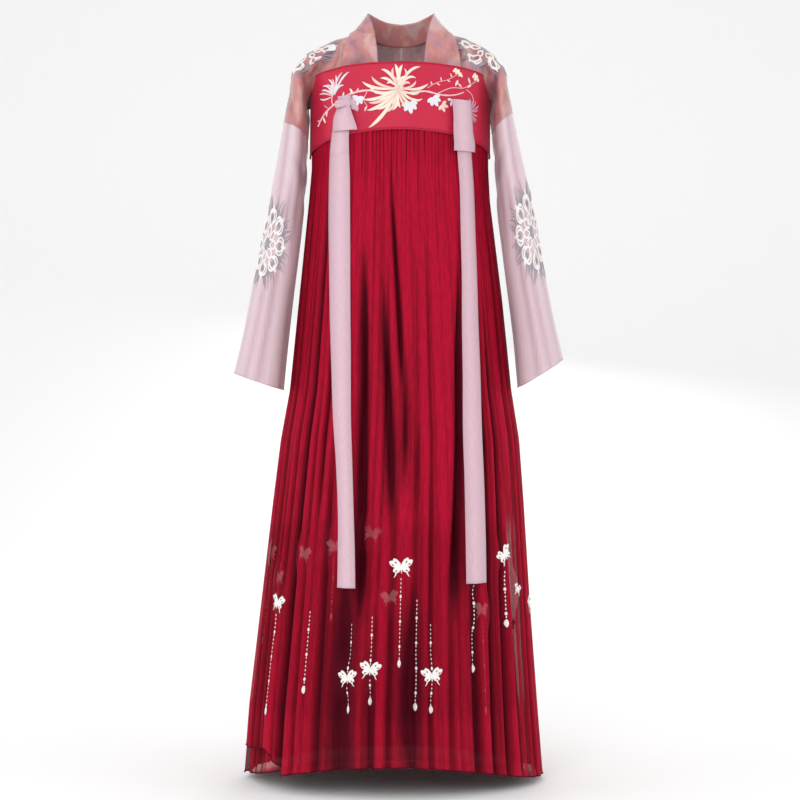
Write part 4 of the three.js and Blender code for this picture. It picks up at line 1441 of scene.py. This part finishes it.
def leaf(color, stalk, heading, size, lobes, width=0.40):
    """A lobed leaf or a bud: short fat strips that fan out from its stalk."""
    for share in np.linspace(-1, 1, lobes):
        long = size * (1.0 - 0.28 * abs(share))
        path = curve_path(stalk, heading + 78 * share, long, -14 * share, steps=9)
        embroider(color, path, petal_widths(size * width, 9, 0.66), 1.2)


for knots, width, taper in STEMS:
    path = smooth_rows(knots, 10 * len(knots))
    uneven = 1 + 0.12 * np.sin(np.arange(len(path)) * 0.9)
    embroider("blush", path, np.linspace(width, width * taper, len(path)) * uneven, 1.3)
for color, stalk, heading, size, lobes in LOBED_LEAVES:
    leaf(color, stalk, heading, size, lobes)
for stalk, heading, size in SINGLE_LEAVES:
    path = curve_path(stalk, heading, size, 24, steps=9)
    embroider("ivory" if size > 11 else "blush", path, petal_widths(size * 0.36, 9, 0.5), 1.2)
for place, size in BUDS:
    leaf("ivory", place, 80, size, 3, width=0.8)
for color, material in SPRAY_THREADS.items():
    sew("spray_" + color, sewn[color], material)

# %% [markdown]
# ## The medallions
# Each shoulder and each forearm carries a round motif of white couched cord: pairs of curls that meet
# as hearts, set in a ring round a small rosette, over feathery strokes of grey and lilac. The forearm
# ones wrap round the sleeve's outer edge. The cord stands higher than stitching, so its strips are
# narrow and tall.


# %% Draw a medallion
def medallion(surface, radius, petals):
    """White cord curls over feathery strokes, as strips for two threads."""
    cord_strips, feather_strips = [], []
    for k in range(petals):
        axis = 90 + 360 * k / petals
        way = unit_step(axis)
        for side in (-1, 1):
            base = way * radius * 0.40
            path = curve_path(base, axis + 52 * side, radius * 0.95, -330 * side, steps=26, late=1.25)
            cord_strips.append(strip(surface, path, np.full(26, radius * 0.062), 1.7))
            path = curve_path(way * radius * 0.14, axis + 40 * side, radius * 0.34, -150 * side, steps=12)
            cord_strips.append(strip(surface, path, np.full(12, radius * 0.055), 1.7))
        tip = curve_path(way * radius * 0.66, axis, radius * 0.24, 0, steps=6)
        cord_strips.append(strip(surface, tip, petal_widths(radius * 0.10, 6), 1.6))
        for shift in np.linspace(-0.5, 0.5, 13):
            heading = axis + shift * 340 / petals
            uneven = (k * 9 + int(shift * 8)) % 3
            long = radius * (0.34 + 0.14 * uneven)
            curl = 26 if shift > 0 else -26
            path = curve_path(unit_step(heading) * radius * 0.52, heading, long, curl, steps=7)
            feather_strips.append(strip(surface, path, petal_widths(radius * 0.034, 7), 0.7))
    for heading in range(0, 360, 24):
        path = curve_path((0, 0), heading, radius * 0.22, 30, steps=7)
        feather_strips.append(strip(surface, path, petal_widths(radius * 0.05, 7), 0.9))
    return cord_strips, feather_strips


# %% Lay the medallions on sleeves and shoulders
def sleeve_surface(table, middle_turn, middle_down, mirror):
    """Places a mm round a sleeve and b mm up from a point on it."""
    half_width = 70.0
    rows = np.array(table, float)
    length = np.linalg.norm(arm_ring(rows[-1], np.array(0.0)) - arm_ring(rows[0], np.array(0.0)))

    def place(a, b, lift):
        turn = math.radians(middle_turn) + a / half_width
        return sleeve_point(table, turn, middle_down - b / length, lift, mirror)

    return place


def shoulder_surface(tree, middle, facing):
    """Places on the shirt's skin round the point nearest to middle, in mm, seen along facing."""
    out = Vector(facing).normalized()
    right = Vector((0, 0, 1)).cross(out).normalized()
    up = out.cross(right)
    hit = tree.ray_cast(Vector(middle) * MM + out * 0.2, -out)[0]

    def place(a, b, lift):
        a, b, lift = np.broadcast_arrays(a, b, lift)
        result = np.zeros(a.shape + (3,))
        for spot in np.ndindex(a.shape):
            flat = hit + (right * float(a[spot]) + up * float(b[spot])) * MM
            near, normal = tree.find_nearest(flat)[:2]
            result[spot] = near + normal * (float(lift[spot]) * MM)
        return result

    return place


skin_shape = bmesh.new()
for half in (shirt_left, shirt_right):
    skin_shape.from_mesh(half.data)
skin_tree = BVHTree.FromBMesh(skin_shape)
skin_shape.free()
# Surface, radius and count of petals of each medallion.
MEDALLIONS = {
    "shoulder_left": (shoulder_surface(skin_tree, (-158, -22, -40), (-0.66, -0.50, 0.7)), 60, 6),
    "shoulder_right": (shoulder_surface(skin_tree, (146, -28, -34), (0.50, -0.62, 0.7)), 60, 6),
    "sleeve_left": (sleeve_surface(LEFT_SLEEVE, 55, 0.48, 0), 82, 8),
    "sleeve_right": (sleeve_surface(RIGHT_SLEEVE, 55, 0.46, 1), 82, 8),
}
for name, (surface, radius, petals) in MEDALLIONS.items():
    cords, feathers = medallion(surface, radius, petals)
    sew("medallion_cord_" + name, cords, WHITE)
    sew("medallion_feather_" + name, feathers, LILAC)

# %% [markdown]
# ## Butterflies and strings of beads
# Butterflies are scattered above the hem, most with a string of stitched beads that runs down the cloth
# and ends in a drop. The white ones are sewn on the outer chiffon. Others are on the second layer and
# show faintly through the first. Each motif is drawn flat round its own middle, then laid on the folds.


# %% Draw a butterfly and a string
def on_paper(a, b, lift):
    """The flat surface that a motif is drawn on before it is laid on the folds."""
    return np.stack(np.broadcast_arrays(a, b, lift), -1)


# Widths along a wing, from the body to its rim.
WING_SHAPE = np.array([0.16, 0.45, 0.72, 0.92, 1.0, 0.96, 0.70, 0.22])
# Heading of each wing, then its length and width as shares of the span.
WINGS = [[50, 0.44, 0.20], [27, 0.50, 0.24], [-28, 0.34, 0.21], [-50, 0.28, 0.13]]
# Place of each spot across and up as shares of the span, and its heading.
WING_SPOTS = [[0.17, 0.17, 50], [0.27, 0.10, 25], [0.15, -0.09, -30]]


def butterfly(span, tilt):
    """Thread strips and dark wing spots of one butterfly, flat."""
    pale, dark = [], []
    for side in (1, -1):
        def branch(across, up, heading, length, curl, steps=8):
            """A path that starts at a share of the span, on this side of the body."""
            start = np.array([side * across * span, up * span])
            return curve_path(start, heading if side > 0 else 180 - heading, length * span, curl, steps=steps)

        for heading, length, width in WINGS:
            wing = branch(0.02, 0.02, heading, length, 10 * side)
            pale.append(strip(on_paper, wing, WING_SHAPE * width * span, 0.7))
        tail = branch(0.20, -0.16, -72, 0.24, 40 * side)
        pale.append(strip(on_paper, tail, np.linspace(0.07, 0.02, 8) * span, 0.7))
        feeler = branch(0.01, 0.12, 62, 0.26, -50 * side)
        pale.append(strip(on_paper, feeler, np.full(8, 0.022 * span), 0.7))
        for across, up, heading in WING_SPOTS:
            spot = branch(across, up, heading, 0.12, 0, steps=6)
            dark.append(strip(on_paper, spot, petal_widths(0.055 * span, 6), 1.5))
    body = np.array([[0, 0.14], [0, 0.05], [0, -0.05], [0, -0.14], [0, -0.22]]) * span
    pale.append(strip(on_paper, body, np.array([0.03, 0.06, 0.07, 0.05, 0.02]) * span, 1.2))
    for grid in pale + dark:
        a, b = grid[..., 0].copy(), grid[..., 1].copy()
        turn = math.radians(tilt)
        grid[..., 0] = a * math.cos(turn) - b * math.sin(turn)
        grid[..., 1] = a * math.sin(turn) + b * math.cos(turn)
    return pale, dark


def bead_string(top, foot, skip=(0, 0)):
    """Dashes, now and then a bead, and a drop at the foot, flat: heights are measured from the motif."""
    strips = []
    for count, level in enumerate(np.arange(top, foot + 16, -7.0)):
        if skip[0] < level < skip[1]:
            continue
        long, wide = (6.5, 3.6) if count % 6 == 4 else (4.2, 1.5)
        path = np.stack([np.zeros(6), np.linspace(level, level - long, 6)], 1)
        strips.append(strip(on_paper, path, petal_widths(wide, 6), 0.8))
    path = np.stack([np.zeros(9), np.linspace(foot + 14, foot, 9)], 1)
    strips.append(strip(on_paper, path, petal_widths(6.0, 9, 0.5), 1.2))
    return strips


def on_skirt(angle, z, inner, grids):
    """Flat strips laid on the outer or the second chiffon, round an angle and a height."""
    flat = np.concatenate([grid.reshape(-1, 3) for grid in grids])
    level = z + flat[:, 1]
    centre, side, front, rear = bell_sizes(level)
    deep = front if math.cos(math.radians(angle)) > 0 else rear
    turn = math.radians(angle)
    radius = np.hypot(side * math.cos(turn), deep * math.sin(turn))
    turned = angle + np.degrees(flat[:, 0] / radius)
    inset = fold_inset(FRONT_FOLDS if angle < 90 else REAR_FOLDS, turned, level)
    inset = inset * left_by_stitching(turned, level)
    moved = inset * 0.8 + inner_tuck(turned, level) if inner else inset
    placed = bell_point(turned, level, moved - flat[:, 2] - 0.5)
    cuts = np.cumsum([grid.shape[0] * grid.shape[1] for grid in grids])[:-1]
    return [part.reshape(grid.shape) for part, grid in zip(np.split(placed, cuts), grids)]


# %% Scatter them above the hem
motifs = {(side, kind): [] for side in ("front", "back") for kind in ("white", "veiled", "spots")}
for angle, z, span, tilt, top, foot, layer in BUTTERFLIES:
    side = "front" if angle < 90 else "back"
    kind = "veiled" if layer else "white"
    pale, dark = butterfly(span, tilt)
    if foot:
        pale += bead_string(top - z, foot - z, skip=(-0.24 * span, 0.3 * span))
    motifs[side, kind] += on_skirt(angle, z, layer, pale)
    if not layer:
        motifs[side, "spots"] += on_skirt(angle, z, layer, dark)
for angle, top, foot in BARE_STRINGS:
    side = "front" if angle < 90 else "back"
    motifs[side, "white"] += on_skirt(angle, top, 0, bead_string(0, foot - top))
MOTIF_THREADS = {"white": WHITE, "veiled": VEILED, "spots": DARK}
for (side, kind), grids in motifs.items():
    sew("butterflies_" + kind + "_" + side, grids, MOTIF_THREADS[kind])

# %% [markdown]
# ## Rolled edges and seams
# Chiffon and organza are too thin for a folded hem, so their edges are rolled and whipped into a narrow
# cord. Its colour is painted darker, partly for the denser rolled cloth and partly as painted shade. A roll
# is a thin tube along the last row of a piece. The sleeve seams and the band's two edges get one as well.


# %% Roll the edges
def rolled_edge(name, line, radius, material, depth):
    """A thin roll of cloth along a line of points in metres: depth is its fold value, which sets its painted
    shade.
    """
    line = np.asarray(line, float)
    run = np.gradient(line, axis=0)
    run /= np.maximum(np.linalg.norm(run, axis=1, keepdims=True), 1e-12)
    aside = np.cross(run, [0.0, 0.0, 1.0])
    aside /= np.maximum(np.linalg.norm(aside, axis=1, keepdims=True), 1e-12)
    over = np.cross(aside, run)
    turn = np.linspace(0, 2 * np.pi, 6, endpoint=False)[None, :, None]
    points = line[:, None] + radius * MM * (np.cos(turn) * aside[:, None] + np.sin(turn) * over[:, None])
    values = {"fold": np.full(points.shape[:2], depth), "cover": np.ones(points.shape[:2])}
    return cloth_grid(name, points, material, values, wraps=True)


def corners_of(piece):
    """The places of a mesh's points, in metres."""
    return np.array([corner.co for corner in piece.data.vertices])


def hem_line(name):
    """The points along the hem of a skirt piece."""
    return corners_of(skirt_pieces[name])[-hem_counts[name]:]


for name, piece in skirt_pieces.items():
    rolled_edge(name + "_hem", hem_line(name), 1.2, piece.data.materials[0], 0.85)
for name, piece in (("sleeve_left", sleeve_left), ("sleeve_right", sleeve_right)):
    corners = corners_of(piece)
    for edge, ring, radius, depth in (
        ("_cuff", corners[-SLEEVE_SIDES:], 1.1, 0.5),
        ("_seam", corners[:SLEEVE_SIDES], 0.9, 0.6),
    ):
        rolled_edge(name + edge, np.concatenate([ring, ring[:2]]), radius, PALE_ORGANZA, depth)
BAND_EDGE_POINTS = 220
for name, start, end in (("band_front", -90, 90), ("band_back", 90, 270)):
    angle = np.linspace(start, end, BAND_EDGE_POINTS)
    for edge, down in (("_upper_edge", 0.0), ("_lower_edge", 1.0)):
        line = band_point(angle, np.full(BAND_EDGE_POINTS, down), -0.6)
        rolled_edge(name + edge, line, 1.3, ROSE_SATIN, 0.35)

# %% [markdown]
# ## Cuts
# Each sheet of cloth states the flat size it was cut to: for a gathered layer that is the width at the
# hem, which the band then draws together. The printed ratio compares the made surface with the cut, so a
# slip in a number shows at once.


# Width and length of the cut in metres, how it is held, what it hangs from, and what is sewn on it.
CUTS = {
    "skirt_front_cloth": (0.90, 1.09, "gathered", "band_front_cloth",
                          ["skirt_front_hem", "butterflies_white_front", "butterflies_spots_front"]),
    "skirt_back_cloth": (0.81, 1.10, "gathered", "band_back_cloth",
                         ["skirt_back_hem", "butterflies_white_back", "butterflies_spots_back"]),
    "underskirt_front_cloth": (0.80, 1.09, "gathered", "band_front_cloth",
                               ["underskirt_front_hem", "butterflies_veiled_front"]),
    "underskirt_back_cloth": (0.75, 1.10, "gathered", "band_back_cloth",
                              ["underskirt_back_hem", "butterflies_veiled_back"]),
    "lining_front_cloth": (0.77, 1.00, "gathered", "band_front_cloth", ["lining_front_hem"]),
    "lining_back_cloth": (0.73, 1.02, "gathered", "band_back_cloth", ["lining_back_hem"]),
    "sleeve_left_cloth": (0.40, 0.45, "hung", "shirt_left_cloth",
                          ["sleeve_left_cuff", "sleeve_left_seam", "medallion_cord_sleeve_left",
                           "medallion_feather_sleeve_left"]),
    "sleeve_right_cloth": (0.40, 0.44, "hung", "shirt_right_cloth",
                           ["sleeve_right_cuff", "sleeve_right_seam", "medallion_cord_sleeve_right",
                            "medallion_feather_sleeve_right"]),
    "shirt_left_cloth": (0.34, 0.88, "hung", "wearer",
                         ["medallion_cord_shoulder_left", "medallion_feather_shoulder_left"]),
    "shirt_right_cloth": (0.33, 0.88, "hung", "wearer",
                          ["medallion_cord_shoulder_right", "medallion_feather_shoulder_right"]),
    "collar_cloth": (0.064, 1.16, "folded", "shirt_left_cloth", []),
    "band_front_cloth": (0.44, 0.13, "stretched", "shirt_left_cloth",
                         ["band_front_upper_edge", "band_front_lower_edge", "spray_ivory", "spray_peach",
                          "spray_blush", "spray_silver", "spray_mauve"]),
    "band_back_cloth": (0.42, 0.12, "stretched", "shirt_left_cloth",
                        ["band_back_upper_edge", "band_back_lower_edge"]),
    "tie_left_cloth": (0.035, 0.95, "hung", "band_front_cloth", []),
    "tie_right_cloth": (0.033, 0.96, "hung", "band_front_cloth", []),
    "tie_left_knot_cloth": (0.013, 0.074, "folded", "tie_left_cloth", []),
    "tie_left_loop_cloth": (0.017, 0.043, "folded", "tie_left_cloth", []),
}
# A half of the shirt is cut in a T shape, so its area is given too.
CUT_AREAS = {"shirt_left_cloth": 0.150, "shirt_right_cloth": 0.143}
for name, (width, length, held, support, sewn_on) in CUTS.items():
    piece = bpy.data.objects[name]
    surface = sum(face.area for face in piece.data.polygons)
    cut = CUT_AREAS.get(name, width * length)
    print(name, "cut", round(cut, 4), "m2, made", round(surface, 4), "ratio", round(surface / cut, 2))
for name in skirt_pieces:
    steps = np.linalg.norm(np.diff(hem_line(name), axis=0), axis=1)
    print(name, "measures", round(float(steps.sum()), 3), "m along its hem")
